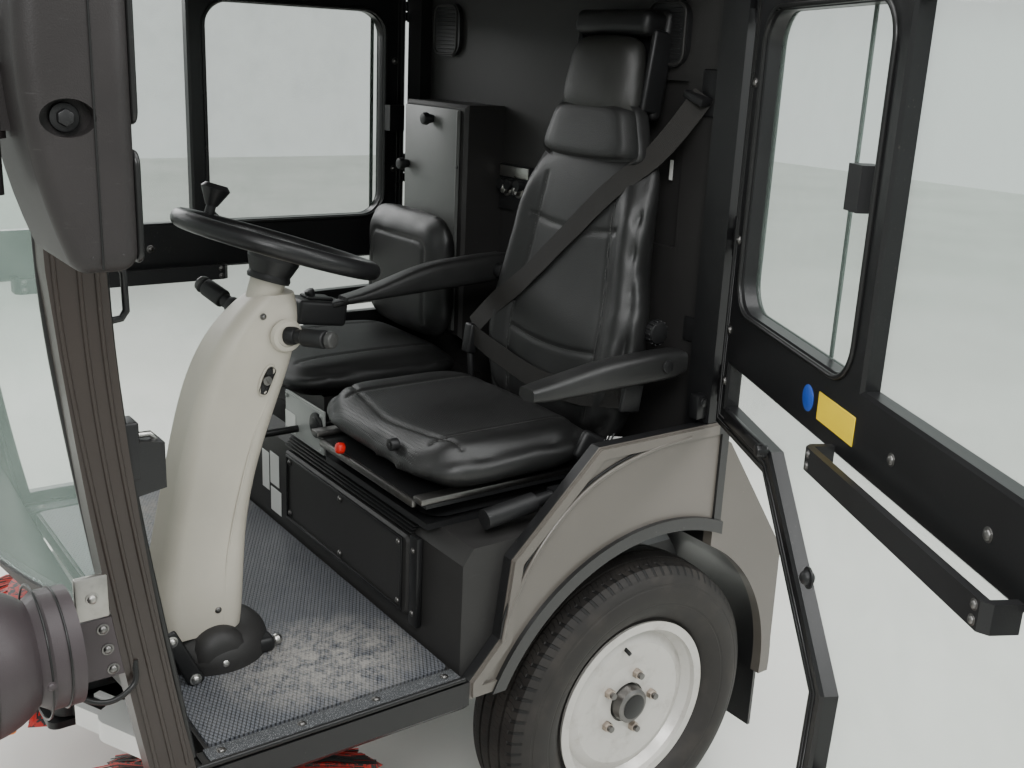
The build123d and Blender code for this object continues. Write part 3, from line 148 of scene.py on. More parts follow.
class Finish:
    """A node material: its colour, roughness, bump and other values come from Shade expressions."""

    def __init__(self, name, color, rough, metal=0.0, coat=0.0, specular=0.5):
        self.material = bpy.data.materials.new(name)
        self.material.use_nodes = True
        self.tree = self.material.node_tree
        self.shader = self.tree.nodes["Principled BSDF"]
        self.set("Base Color", (*color, 1.0))
        self.set("Roughness", rough)
        self.set("Metallic", metal)
        self.set("Coat Weight", coat)
        self.set("Coat Roughness", 0.12)
        self.set("Specular IOR Level", specular)
        self.coordinates = self.node("ShaderNodeTexCoord", {}, {}, "Object")

    def feed(self, socket, value):
        """Links a Shade to the socket, or sets the socket's own value."""
        if isinstance(value, Shade):
            self.tree.links.new(value.socket, socket)
        else:
            socket.default_value = value

    def node(self, kind, settings, values, output=0):
        """Adds a node, makes its settings, feeds its inputs and gives one of its outputs."""
        made = self.tree.nodes.new(kind)
        for key, value in settings.items():
            setattr(made, key, value)
        items = values.items() if isinstance(values, dict) else enumerate(values)
        for key, value in items:
            self.feed(made.inputs[key], value)
        return Shade(self, made.outputs[output])

    def set(self, name, value):
        self.feed(self.shader.inputs[name], value)

    def noise(self, scale, detail=4.0, roughness=0.55, vector=None):
        vector = vector or self.coordinates
        values = {"Vector": vector, "Scale": scale, "Detail": detail, "Roughness": roughness}
        return self.node("ShaderNodeTexNoise", {}, values, "Fac")

    def cells(self, scale, feature="F1", vector=None):
        values = {"Vector": vector or self.coordinates, "Scale": scale}
        return self.node("ShaderNodeTexVoronoi", {"feature": feature}, values, "Distance")

    def scaled(self, x, y, z):
        """The object's coordinates, stretched."""
        settings = {"operation": "MULTIPLY"}
        return self.node("ShaderNodeVectorMath", settings, (self.coordinates, (x, y, z)))

    def axes(self):
        """The x, y and z of the object's coordinates."""
        split = self.tree.nodes.new("ShaderNodeSeparateXYZ")
        self.tree.links.new(self.coordinates.socket, split.inputs[0])
        return [Shade(self, out) for out in split.outputs]

    def mix(self, factor, first, second):
        """A colour between two colours. The node's sockets 0, 6 and 7 in and 2 out are those for colours."""
        first, second = (tone if isinstance(tone, Shade) else (*tone, 1.0) for tone in (first, second))
        return self.node("ShaderNodeMix", {"data_type": "RGBA"}, {0: factor, 6: first, 7: second}, 2)

    def bump(self, height, depth, strength=1.0):
        """Raises the surface by height times depth metres."""
        values = {"Height": height, "Distance": depth, "Strength": strength}
        previous = self.shader.inputs["Normal"].links
        if previous:
            values["Normal"] = Shade(self, previous[0].from_socket)
        self.set("Normal", self.node("ShaderNodeBump", {}, values, "Normal"))


DUST = (0.30, 0.28, 0.25)


def shine(color):
    """How strongly a finish mirrors what meets it head on: less where it is dark."""
    return 0.5 if max(color) > 0.05 else 0.3


def paint(name, color, rough, coat=0.3, orange_peel=0.00006, dust=0.12, metal=0.0, other=None, where=None):
    """Sprayed paint: orange peel, drifting tone, dust and fine scratches.

    where says what the other colour covers.
    """
    made = Finish(name, color, rough, metal, coat, shine(color))
    tone = made.noise(3.0, 5.0)
    pale = tuple(min(1.0, c * 1.3 + 0.003) for c in color)
    base = made.mix(tone.step(0.3, 0.75) * 0.6, color, pale)
    if where:
        base = made.mix(where(*made.axes()), base, other)
    specks = made.noise(240.0, 3.0).step(0.62, 0.78) * made.noise(5.0).step(0.4, 0.7)
    made.set("Base Color", made.mix(specks * dust, base, DUST))
    scratch = made.noise(60.0, 2.0, 0.5, made.scaled(1.0, 14.0, 1.0)).step(0.66, 0.74)
    made.set("Roughness", rough + (tone - 0.5) * 0.16 + scratch * 0.06)
    made.bump(made.noise(260.0, 2.0), orange_peel)
    return made.material


def wheel_radius(x, z):
    """How far a point is from the front axle's line."""
    x, z = x + MOUNT.x, z + (MOUNT.z - AXLE_Z)
    return (x * x + z * z).math("SQRT")


def plastic(name, color, rough, grain=900.0, depth=0.00010, tone_scale=4.0, scuffs=0.15):
    """Moulded plastic with a fine grain and light scuffs."""
    made = Finish(name, color, rough, specular=shine(color))
    tone = made.noise(tone_scale, 5.0)
    pale = tuple(min(1.0, c * 1.5 + 0.003) for c in color)
    scuff = made.noise(30.0, 6.0, 0.7, made.scaled(1.0, 1.0, 7.0)).step(0.6, 0.8)
    base = made.mix(tone.step(0.3, 0.7) * 0.5, color, pale)
    worn = tuple(min(1.0, c + 0.10) for c in color)
    made.set("Base Color", made.mix(scuff * scuffs, base, worn))
    made.set("Roughness", rough + (tone - 0.5) * 0.18)
    made.bump(made.cells(grain), depth)
    return made.material


def leather(name, color, rough, holes=False):
    """Grained leather with fine creases. holes pricks it finely over the driver's seat's middle."""
    made = Finish(name, color, rough, specular=0.42)
    tone = made.noise(7.0, 5.0)
    pale = tuple(c * 1.8 + 0.008 for c in color)
    made.set("Base Color", made.mix(tone.step(0.35, 0.8) * 0.5, color, pale))
    pebbles = made.cells(820.0, "SMOOTH_F1")
    made.set("Roughness", rough + (tone - 0.5) * 0.2 + pebbles * 0.08)
    made.bump(pebbles, 0.00028)
    made.bump(made.noise(16.0, 8.0, 0.6, made.scaled(1.0, 1.8, 1.0)), 0.0004, 0.4)
    if holes:
        x, y, _ = made.axes()
        pitch = math.pi / 0.006
        dots = ((x * pitch).math("SINE") * (y * pitch).math("SINE")).math("ABSOLUTE").step(0.72, 0.95)
        middle = 1 - abs(y - (SEAT_Y - MOUNT.y)).step(0.150, 0.160)
        made.bump(dots * middle * -1.0, 0.0008)
    return made.material


def tinted_glass(name):
    """Green-tinted safety glass: see-through, with a faint film of dust."""
    made = Finish(name, (0.78, 0.9, 0.84), 0.03)
    film = made.noise(9.0, 6.0).step(0.35, 0.85)
    made.set("Base Color", made.mix(film * 0.3, (0.55, 0.72, 0.64), (0.72, 0.80, 0.76)))
    made.set("Alpha", 0.13 + film * 0.06)
    made.set("Roughness", 0.03 + film * 0.1)
    return made.material


black_coat = paint("black powder coat", (0.006, 0.006, 0.0065), 0.34, 0.12)
frame_black = paint("chassis black", (0.008, 0.008, 0.0085), 0.42, 0.05, 0.0001, 0.3)
charcoal = plastic("charcoal trim", (0.0165, 0.0158, 0.0155), 0.5, 700.0, 0.00012)
TAUPE = (0.088, 0.078, 0.068)
BLACK = (0.009, 0.009, 0.0095)
taupe = paint("taupe grey paint", TAUPE, 0.36, 0.25, 0.00005, 0.25)
wing_paint = paint("taupe wing, black edges", TAUPE, 0.36, 0.25, 0.00005, 0.25, 0.0, BLACK,
                   lambda x, y, z: 1 - abs(y).step(0.5970, 0.5985))
edging_paint = paint("taupe edging, black arch", TAUPE, 0.36, 0.25, 0.00005, 0.2, 0.0, BLACK,
                     lambda x, y, z: (1 - wheel_radius(x, z).step(0.438, 0.4385)).math(
                         "MAXIMUM", x.step(0.138 - MOUNT.x, 0.1385 - MOUNT.x)))
guard_paint = paint("taupe guard, black inside", TAUPE, 0.36, 0.25, 0.00005, 0.25, 0.0, BLACK,
                    lambda x, y, z: 1 - (abs(y).step(0.5570, 0.5580)
                                         * z.step(0.285 - MOUNT.z, 0.2855 - MOUNT.z)))
white_coat = paint("white paint", (0.74, 0.73, 0.71), 0.35, 0.3, 0.00004, 0.3)
greige = plastic("greige moulding", (0.36, 0.335, 0.285), 0.44, 1100.0, 0.00006, 3.0, 0.08)
black_plastic = plastic("black plastic", (0.009, 0.009, 0.0095), 0.42)
mirror_plastic = plastic("mirror plastic", (0.014, 0.012, 0.012), 0.48, 600.0, 0.00014, 5.0, 0.3)
lamp_plastic = plastic("lamp housing", (0.036, 0.029, 0.031), 0.42, 600.0, 0.00010, 5.0, 0.2)
pillar_coat = paint("pillar coat", (0.022, 0.0165, 0.0140), 0.36, 0.15, 0.00006, 0.12, 0.0, BLACK,
                    lambda x, y, z: x.step(-1.0, -0.8))
wheel_grip = plastic("steering wheel foam", (0.008, 0.008, 0.0085), 0.34, 500.0, 0.00012)
black_leather = leather("black leather", (0.010, 0.010, 0.010), 0.40)
perforated_leather = leather("perforated leather", (0.010, 0.010, 0.010), 0.38, True)
grey_leather = leather("headrest leather", (0.014, 0.014, 0.013), 0.44)
glass = tinted_glass("tinted glass")


def mat_rubber():
    """Black mat with raised lozenges, pale with dust where feet stand. Its lozenges are painted paler than the
    grooves between them: a painted sheen on their tops and painted shade between.
    """
    made = Finish("lozenge mat", (0.03, 0.034, 0.04), 0.5)
    x, y, _ = made.axes()
    pitch = 0.0080
    along = ((x + y * 0.55) * (math.pi / pitch)).math("SINE")
    across = ((x - y * 0.55) * (math.pi / pitch)).math("SINE")
    lozenge = (abs(along) * abs(across)).step(0.12, 0.4)
    foot_x, foot_y = x + (MOUNT.x + 0.640), abs(y) - 0.400
    patch = 1 - ((foot_x * foot_x) * 22.0 + (foot_y * foot_y) * 34.0)
    blotch = made.noise(34.0, 9.0, 0.75) * 0.6 + made.noise(130.0, 5.0, 0.65) * 0.4
    dust = (patch.math("MAXIMUM", 0.0) * 0.95 + 0.10) * blotch.step(0.38, 0.60)
    # Painted sheen and shade: the raised lozenges get a pale blue-grey, the grooves between them near black.
    base = made.mix(lozenge * 0.8, (0.016, 0.018, 0.022), (0.115, 0.122, 0.140))
    made.set("Base Color", made.mix(dust * 0.85, base, (0.29, 0.275, 0.25)))
    made.set("Roughness", 0.40 + dust * 0.4)
    made.bump(lozenge, 0.0012)
    return made.material


def tyre_rubber():
    """Tyre rubber with sipes and shoulder blocks on the tread, their grooves darkened nearly to black as
    painted shade, and rings on the sidewall.
    """
    made = Finish("tyre rubber", (0.012, 0.011, 0.010), 0.62, specular=0.35)
    x, y, z = made.axes()
    across, above = x + MOUNT.x, z + (MOUNT.z - AXLE_Z)
    angle = above.math("ARCTAN2", across)
    radius = (across * across + above * above).math("SQRT")
    middle = abs(abs(y) - 0.5)
    tread = radius.step(0.300, 0.306)
    shoulder = middle.step(0.052, 0.056)
    blocks = ((angle * 84.0 + middle * 60.0).math("SINE")).step(-0.75, -0.45)
    sipes = abs((angle * 82.0 + (y * 160.0).math("SINE") * 0.9).math("SINE")).step(0.05, 0.22)
    pattern = tread * (shoulder * blocks + (1 - shoulder) * sipes)
    rings = (abs(radius - 0.283).step(0.0015, 0.003) + abs(radius - 0.242).step(0.0012, 0.0026)) * (1 - tread)
    tone = made.noise(16.0, 6.0)
    rubber = made.mix(tone.step(0.4, 0.75) * 0.6, (0.0125, 0.011, 0.010), (0.036, 0.031, 0.027))
    # Painted shade: the tread's grooves and sipes, outside the raised pattern, are darkened nearly to black.
    made.set("Base Color", made.mix(tread * (1 - pattern) * 0.85, rubber, (0.002, 0.002, 0.002)))
    made.set("Roughness", 0.52 + tone * 0.25)
    made.bump(pattern + rings * 0.4, 0.0022)
    made.bump(made.noise(420.0, 2.0), 0.0001)
    return made.material


def rim_paint():
    """Light grey wheel lacquer with patches of brake dust."""
    made = Finish("wheel lacquer", (0.42, 0.41, 0.39), 0.34, 0.35, 0.2)
    grime = made.noise(22.0, 8.0, 0.65)
    made.set("Base Color", made.mix(grime.step(0.50, 0.85), (0.44, 0.425, 0.40), (0.30, 0.275, 0.245)))
    made.set("Roughness", 0.26 + grime * 0.26)
    made.bump(made.noise(300.0, 2.0), 0.00008)
    return made.material


def steel(name, color=(0.46, 0.45, 0.43), rough=0.32):
    """Bare or zinc-coated steel with a drifting tone."""
    made = Finish(name, color, rough, 1.0)
    tone = made.noise(40.0, 5.0)
    made.set("Roughness", rough + (tone - 0.5) * 0.25)
    made.set("Base Color", made.mix(tone.step(0.5, 0.8) * 0.6, color, tuple(c * 0.55 for c in color)))
    made.bump(made.noise(600.0, 2.0), 0.00003)
    return made.material


def webbing():
    """Woven belt: ribs along the strap and a fine weave across it."""
    made = Finish("belt webbing", (0.012, 0.012, 0.011), 0.62, specular=0.3)
    _, y, z = made.axes()
    ribs = abs(((y + z) * 900.0).math("SINE"))
    weave = abs(((y - z) * 2400.0).math("SINE"))
    made.set("Base Color", made.mix(ribs * 0.5 + weave * 0.3, (0.007, 0.0065, 0.006), (0.026, 0.024, 0.022)))
    made.bump(ribs * 0.7 + weave * 0.3, 0.0006)
    return made.material


def bristles():
    """Bundled strands in red and black."""
    made = Finish("bristles", (0.4, 0.02, 0.012), 0.5)
    strands = made.noise(70.0, 3.0, 0.6, made.scaled(1.0, 1.0, 0.35))
    made.set("Base Color", made.mix(strands.step(0.47, 0.53), (0.42, 0.016, 0.010), (0.012, 0.012, 0.012)))
    made.bump(made.noise(500.0, 2.0, 0.5, made.scaled(1.0, 1.0, 0.2)), 0.001)
    return made.material


def lens_with_painted_light():
    """Clear lamp lens with upright flutes, drawn opaque: its pale colour, lighter and darker across the flutes,
    is painted light in place of what the clear lens lets through and throws back.
    """
    made = Finish("lamp lens", (0.62, 0.63, 0.62), 0.08, 0.0, 0.6)
    _, y, _ = made.axes()
    flutes = abs((y * 420.0).math("SINE"))
    tone = flutes * 0.5 + made.noise(20.0) * 0.2
    # Painted light: the lens's pale colour, striped with the flutes, stands for glints in the clear glass.
    made.set("Base Color", made.mix(tone, (0.50, 0.51, 0.50), (0.82, 0.83, 0.82)))
    made.set("Roughness", 0.06 + made.noise(30.0) * 0.1)
    made.bump(flutes, 0.0006)
    return made.material


def gritty_strip():
    """Black strip with pale grit in it."""
    made = Finish("grip strip", (0.10, 0.105, 0.11), 0.8)
    grit = made.cells(520.0)
    made.set("Base Color", made.mix(grit.step(0.10, 0.34), (0.34, 0.35, 0.36), (0.035, 0.037, 0.040)))
    made.set("Roughness", 0.6 + made.noise(90.0) * 0.3)
    made.bump(grit, 0.0007)
    return made.material


mat_finish = mat_rubber()
tyre_finish = tyre_rubber()
rim_finish = rim_paint()
bright_steel = steel("bright steel")
dark_steel = steel("dark steel", (0.16, 0.155, 0.15), 0.4)
belt_finish = webbing()
bristle_finish = bristles()

NODE_FINISHES = (
    (pillar_coat, "pillars"),
    (black_coat, "door_left door_right door_hardware door_sills"),
    (edging_paint, "arch_trims"),
    (frame_black, "chassis_frame front_axle knuckle_left knuckle_right tie_rod"),
    (frame_black, "broom_swivel_left broom_swivel_right"),
    (charcoal, "rear_wall wall_box seat_box seat_box_hatch floor_pan passenger_base column_foot chin_panel"),
    (wing_paint, "wing_left wing_right"),
    (guard_paint, "mudguards"),
    (taupe, "roof"),
    (white_coat, "broom_arm_left broom_arm_right"),
    (mat_finish, "floor_mat"),
    (glass, "windscreen door_glass_left door_glass_right"),
    (black_plastic, "seat_suspension armrests column_stalks hand_controls wall_fittings"),
    (black_plastic, "door_fittings_left door_fittings_right"),
    (greige, "steering_column"),
    (wheel_grip, "steering_wheel"),
    (mirror_plastic, "mirrors"),
    (lamp_plastic, "headlamps"),
    (belt_finish, "seat_belt"),
    (rim_finish, "rim_left rim_right"),
    (dark_steel, "hub_left hub_right"),
    (tyre_finish, "tyre_left tyre_right"),
    (bristle_finish, "broom_left broom_right"),
    (black_leather, "seat_cushion seat_back passenger_cushion passenger_back"),
    (grey_leather, "headrest"),
)
for finish, nodes in NODE_FINISHES:
    for node in nodes.split():
        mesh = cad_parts[node].data
        mesh.materials.clear()
        mesh.materials.append(finish)


def set_camera():
    """The camera of the photograph, as a 1024 by 768 frame."""
    data = bpy.data.cameras.new("camera")
    data.sensor_width = SENSOR_MM
    data.lens = LENS_MM
    data.clip_start = 0.02
    camera = add("camera", data)
    back = CAMERA_RIGHT.cross(CAMERA_UP)
    turn = Matrix((CAMERA_RIGHT, CAMERA_UP, back)).transposed().to_4x4()
    camera.matrix_world = Matrix.Translation(CAMERA_AT - MOUNT) @ turn
    bpy.context.scene.camera = camera


def soft_light(name, place, target, size, power):
    """An oblong light that points from its place to its target."""
    data = bpy.data.lights.new(name, "AREA")
    data.shape = "RECTANGLE"
    data.size, data.size_y = size
    data.energy = power
    lamp = add(name, data)
    lamp.location = place
    lamp.rotation_euler = (Vector(target) - Vector(place)).to_track_quat("-Z", "Y").to_euler()


def studio():
    """Pale floor, pale surroundings and soft light from above and from the photographer's side."""
    bm = bmesh.new()
    bmesh.ops.create_grid(bm, x_segments=2, y_segments=2, size=14.0)
    bmesh.ops.translate(bm, vec=(0, 0, GROUND_Z), verts=bm.verts)
    mesh = bpy.data.meshes.new("floor")
    bm.to_mesh(mesh)
    bm.free()
    floor = add("floor", mesh)
    made = Finish("pale floor", (0.66, 0.66, 0.62), 0.45)
    drift = made.noise(0.8, 5.0)
    made.set("Base Color", made.mix(drift.step(0.3, 0.7), (0.60, 0.60, 0.56), (0.70, 0.70, 0.66)))
    mesh.materials.append(made.material)
    world = bpy.data.worlds.new("studio")
    world.use_nodes = True
    color, strength = world.node_tree.nodes["Background"].inputs[:2]
    color.default_value = (0.90, 0.96, 0.93, 1)
    strength.default_value = 0.95
    bpy.context.scene.world = world
    soft_light("ceiling", (-0.9, -1.2, 4.2), (-0.6, -0.6, 0.2), (5.0, 3.0), 230)
    soft_light("photographer", (-3.0, -3.2, 2.9), (-0.6, -0.4, 0.4), (1.4, 1.4), 120)
    soft_light("window", (-1.6, 3.6, 2.4), (-0.6, 0.2, 0.8), (3.0, 2.0), 140)
    soft_light("side", (0.45, -2.3, 2.1), (-0.75, -0.5, 0.5), (0.9, 0.9), 45)


class Piece:
    def __init__(self, name):
        self.name = name
        self.bm = bmesh.new()

    def _bevel(self, verts, width, segments=2):
        """Rounds the edges between the verts, where their faces meet at more than 0.6 radians."""
        if width:
            edges = {e for v in verts for e in v.link_edges if e.calc_face_angle(0.0) > 0.6}
            bmesh.ops.bevel(self.bm, geom=list(edges), offset=width, segments=segments, profile=0.5,
                            affect="EDGES", material=-1)

    def box(self, centre, size, turn=None, bevel=0.002, segments=2):
        """A block with rounded edges."""
        place = Matrix.Translation(centre) @ (turn or Matrix.Identity(4)) @ Matrix.Diagonal((*size, 1))
        made = bmesh.ops.create_cube(self.bm, size=1.0, matrix=place)
        self._bevel(made["verts"], bevel, segments)

    def rod(self, start, end, r1, r2=None, bevel=0.0, sides=24, segments=2):
        """A round bar from start, where its radius is r1, to end, where it is r2."""
        start, end = Vector(start), Vector(end)
        axis = end - start
        turn = Vector((0, 0, 1)).rotation_difference(axis).to_matrix().to_4x4()
        made = bmesh.ops.create_cone(
            self.bm, cap_ends=True, segments=sides, radius1=r1, radius2=r1 if r2 is None else r2,
            depth=axis.length, matrix=Matrix.Translation((start + end) / 2) @ turn,
        )
        self._bevel(made["verts"], bevel, segments)

    def ball(self, centre, r, squash=1.0, axis=(0, 0, 1), sides=24):
        """A ball, squashed along its axis."""
        turn = Vector((0, 0, 1)).rotation_difference(Vector(axis)).to_matrix().to_4x4()
        place = Matrix.Translation(centre) @ turn @ Matrix.Diagonal((1, 1, squash, 1))
        bmesh.ops.create_uvsphere(self.bm, u_segments=sides, v_segments=sides // 2, radius=r, matrix=place)

    def turned(self, profile, axis, centre, steps=48):
        """A closed profile of (radius, height) points, spun about an axis."""
        axis = Vector(axis).normalized()
        side = axis.orthogonal().normalized()
        verts = [self.bm.verts.new(Vector(centre) + side * r + axis * h) for r, h in profile]
        edges = [self.bm.edges.new((a, b)) for a, b in zip(verts, verts[1:] + verts[:1])]
        bmesh.ops.spin(self.bm, geom=verts + edges, cent=centre, axis=axis, angle=math.tau, steps=steps,
                       use_merge=True)
        bmesh.ops.recalc_face_normals(self.bm, faces=self.bm.faces)

    def skin(self, rings):
        """A closed skin over rings of points, one section after another."""
        loops = []
        for ring in rings:
            verts = [self.bm.verts.new(point) for point in ring]
            loops.append([self.bm.edges.new(pair) for pair in zip(verts, verts[1:] + verts[:1])])
        for here, following in zip(loops, loops[1:]):
            bmesh.ops.bridge_loops(self.bm, edges=here + following)
        for loop in (loops[0], loops[-1]):
            bmesh.ops.edgeloop_fill(self.bm, edges=loop)
        bmesh.ops.recalc_face_normals(self.bm, faces=self.bm.faces)

    def bolts(self, places, axis, r=0.008, height=0.005):
        """Dome-headed bolts with a washer each."""
        axis = Vector(axis).normalized()
        for place in places:
            self.rod(Vector(place), Vector(place) + axis * height * 0.3, r * 1.35, bevel=0.0004, sides=20)
            self.ball(Vector(place) + axis * height * 0.3, r, height / r, axis, 16)

    def finish(self, material, body, slot, smooth=True, replaces=()):
        """Makes the piece's object, which rides on the body and stands for the nodes that it replaces."""
        mesh = bpy.data.meshes.new(self.name)
        bmesh.ops.remove_doubles(self.bm, verts=self.bm.verts, dist=1e-6)
        self.bm.to_mesh(mesh)
        self.bm.free()
        if smooth:
            mesh.shade_smooth()
            mesh.set_sharp_from_angle(angle=SHARP_ANGLE)
        piece = add(self.name, mesh)
        mesh.materials.append(material)
        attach(piece, body)
        for node_name in replaces:
            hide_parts(node_name)
        return piece


set_camera()
studio()

# Seats: soft forms that cloth fills, then sewn channels and stitches


def soft_form(name, size, cuts=22, plan=5.0, edge=3.0):
    """A closed cushion form about the origin: plan rounds its corners and edge rounds its rim."""
    bm = bmesh.new()
    bmesh.ops.create_cube(bm, size=2.0)
    bmesh.ops.subdivide_edges(bm, edges=bm.edges[:], cuts=cuts, use_grid_fill=True)
    for vert in bm.verts:
        u, v, w = vert.co
        reach = max(abs(u), abs(v))
        if reach > 0:
            round_plan = reach / (abs(u) ** plan + abs(v) ** plan) ** (1 / plan)
            u, v = u * round_plan, v * round_plan
        rim = (abs(u) ** plan + abs(v) ** plan) ** (1 / plan)
        pull = 1 - 0.06 * abs(w) ** edge
        height = w * (1 - min(rim, 1.0) ** (edge * 3)) ** (1 / edge) if abs(w) == 1 else w * 0.55
        vert.co = Vector((u * pull * size[0] / 2, v * pull * size[1] / 2, height * size[2] / 2))
    mesh = bpy.data.meshes.new(name)
    bm.to_mesh(mesh)
    bm.free()
    return add(name, mesh)


def bake(form):
    """The form as its modifiers leave it."""
    graph = bpy.context.evaluated_depsgraph_get()
    mesh = bpy.data.meshes.new_from_object(form.evaluated_get(graph))
    form.modifiers.clear()
    form.data = mesh
    return form


def move_points(form, place):
    """Moves each point of the form where place says."""
    for vert in form.data.vertices:
        vert.co = place(vert.co.copy())
    form.data.update()
    return form


def fit(form, size):
    """Scales the form about its middle to that size."""
    spans = [[vert.co[axis] for vert in form.data.vertices] for axis in range(3)]
    middle = Vector([(max(span) + min(span)) / 2 for span in spans])
    scale = Vector([want / (max(span) - min(span)) for want, span in zip(size, spans)])
    return move_points(form, lambda point: (point - middle) * scale)


def fill(form, cap, pressure=2.0, voxel=0.006):
    """Cloth under pressure swells the form; no point moves further than cap."""
    remesh = form.modifiers.new("remesh", "REMESH")
    remesh.mode = "VOXEL"
    remesh.voxel_size = voxel
    bake(form)
    start = [vert.co.copy() for vert in form.data.vertices]
    cloth = form.modifiers.new("cloth", "CLOTH")
    cloth.settings.use_pressure = True
    cloth.settings.uniform_pressure_force = pressure
    cloth.settings.effector_weights.gravity = 0
    cloth.point_cache.frame_end = CLOTH_FRAMES
    for step in range(1, CLOTH_FRAMES + 1):
        bpy.context.scene.frame_set(step)
    bake(form)
    for vert, old in zip(form.data.vertices, start):
        moved = vert.co - old
        if moved.length > cap:
            vert.co = old + moved.normalized() * cap
    ease = form.modifiers.new("ease", "SMOOTH")
    ease.factor = 0.5
    ease.iterations = EASE_STEPS
    bake(form)
    bpy.context.scene.frame_set(1)
    return form


def upholster(form, material, slot, body, *nodes, fullness=0.7):
    """Smooths a filled form once, covers it and lets it stand for its plain CAD solid."""
    smooth = form.modifiers.new("smooth", "SUBSURF")
    smooth.levels = smooth.render_levels = 1
    form.data.shade_smooth()
    form.data.materials.clear()
    form.data.materials.append(material)
    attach(form, body)
    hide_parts(*nodes)
    return form


def on_surface(form, points, direction, lift=0.0):
    """The points, thrown along a direction onto the form."""
    tree = BVHTree.FromObject(form, bpy.context.evaluated_depsgraph_get())
    aim = Vector(direction).normalized()
    found = []
    for point in points:
        hit, normal, _, _ = tree.ray_cast(Vector(point) - aim * 0.4, aim)
        if hit is not None:
            found.append((hit + normal * lift, normal))
    return found


def groove(form, points, width, depth):
    """Presses a sewn channel into the form along the points."""
    path = [point for point, _ in points]
    index = KDTree(len(path))
    for number, point in enumerate(path):
        index.insert(point, number)
    index.balance()
    for vert in form.data.vertices:
        _, number, distance = index.find(vert.co)
        if distance < width:
            vert.co -= points[number][1] * depth * (1 - smoothstep(0, width, distance))
    form.data.update()


def seam(name, form, points, direction, pitch=0.0075, double=0.0, sink=0.004):
    """A sewn channel with a row of stitches on it, or a row on each side of it."""
    path = spaced(points, 0.004)
    hits = on_surface(form, path, direction)
    groove(form, hits, 0.009, sink)
    hits = on_surface(form, spaced(points, pitch), direction, 0.0006)
    thread = Piece(name)
    for (here, normal), (there, _) in zip(hits, hits[1:]):
        along = there - here
        if along.length > 3 * pitch:
            continue
        side = along.cross(normal).normalized()
        for offset in (-double, double) if double else (0.0,):
            turn = along.to_track_quat("X", "Z").to_matrix().to_4x4()
            thread.box(here + along * 0.35 + side * offset, (along.length * 0.62, 0.0013, 0.0011), turn, 0)
    thread.finish(thread_finish, "cab", "seat_leather", False)


def spaced(points, step):
    """Points at an even step along a line of points."""
    points = [Vector(p) for p in points]
    found = [points[0]]
    left = step
    for a, b in zip(points, points[1:]):
        length = (b - a).length
        place = left
        while place <= length:
            found.append(a.lerp(b, place / length))
            place += step
        left = place - length
    return found


def curved(points, steps=12):
    """A smooth line through the points."""
    points = [Vector(p) for p in points]
    ends = [2 * points[0] - points[1], *points, 2 * points[-1] - points[-2]]
    found = []
    for a, b, c, d in zip(ends, ends[1:], ends[2:], ends[3:]):
        for step in range(steps):
            t = step / steps
            found.append(0.5 * ((2 * b) + (c - a) * t + (2 * a - 5 * b + 4 * c - d) * t**2
                                + (3 * b - a - 3 * c + d) * t**3))
    return [*found, points[-1]]


thread_finish = paint("seam thread", (0.05, 0.05, 0.048), 0.55, 0.0)

# Driver's cushion: a lower middle between two bolsters, rolled down at its front
CUSHION = Vector((0.394, 0.520, 0.104))
CUSHION_C = Vector((-0.277, SEAT_Y, 0.897))
PANEL_HALF = 0.165


def cushion_shape(point):
    """Raises the bolsters, lowers the middle, rolls the front down and tucks its underside back."""
    across = abs(point.y) / (CUSHION.y / 2)
    front = -point.x / (CUSHION.x / 2)
    if point.z > 0:
        point.z += 0.010 * smoothstep(0.62, 0.8, across) - 0.006 * (1 - smoothstep(0.45, 0.66, across))
        point.z -= 0.030 * smoothstep(0.55, 1.0, front) ** 2
        point.z += 0.008 * smoothstep(0.6, 1.0, -front)
        return point
    low = -point.z / (CUSHION.z / 2)
    point.x += 0.055 * smoothstep(0.55, 1.0, front) * smoothstep(0.0, 0.9, low)
    point.y *= 1 - 0.07 * smoothstep(0.5, 1.0, across) * low
    return point


cushion = soft_form("driver_cushion", CUSHION)
fill(move_points(cushion, cushion_shape), 0.010)
move_points(fit(cushion, CUSHION), lambda point: point + CUSHION_C - MOUNT)
top = CUSHION_C.z + 0.10
for side in (-1, 1):
    seam(f"cushion_panel_seam_{side + 2}", cushion,
         [at(x, SEAT_Y + side * PANEL_HALF, top) for x in (-0.43, -0.10)], (0, 0, -1), double=0.003)
seam("cushion_front_seam", cushion,
     curved([at(-0.428 + 0.03 * abs(y), SEAT_Y + 0.22 * y, top) for y in (-1, -0.5, 0, 0.5, 1)]), (0, 0, -1))
upholster(cushion, perforated_leather, "seat_leather", "cab", "seat_cushion")

# Driver's backrest, drawn across, up and out of its plane, then leaned back
BACK_LOW = -0.045
BACK_TOP = 0.585
BACK_WIDTH = 0.484
BACK_THICK = 0.100
BACK_MID = 0.046
# Its half width at each height
BACK_WIDTHS = ((BACK_LOW, 0.205), (0.06, 0.232), (0.162, 0.242), (0.26, 0.236), (0.354, 0.216),
               (0.475, 0.206), (0.54, 0.200), (BACK_TOP, 0.182))


def on_back(across, up, out):
    """A point on the driver's backrest: across the seat, up its plane and out towards the driver."""
    lean = Vector((math.sin(BACK_TILT), 0, math.cos(BACK_TILT)))
    outward = Vector((-math.cos(BACK_TILT), 0, math.sin(BACK_TILT)))
    return BACK_FOOT + Vector((0, across, 0)) + lean * up + outward * out - MOUNT


def half_width(up):
    """The backrest's half width at a height."""
    for (h1, w1), (h2, w2) in zip(BACK_WIDTHS, BACK_WIDTHS[1:]):
        if up <= h2:
            return w1 + (w2 - w1) * max(up - h1, 0.0) / (h2 - h1)
    return BACK_WIDTHS[-1][1]


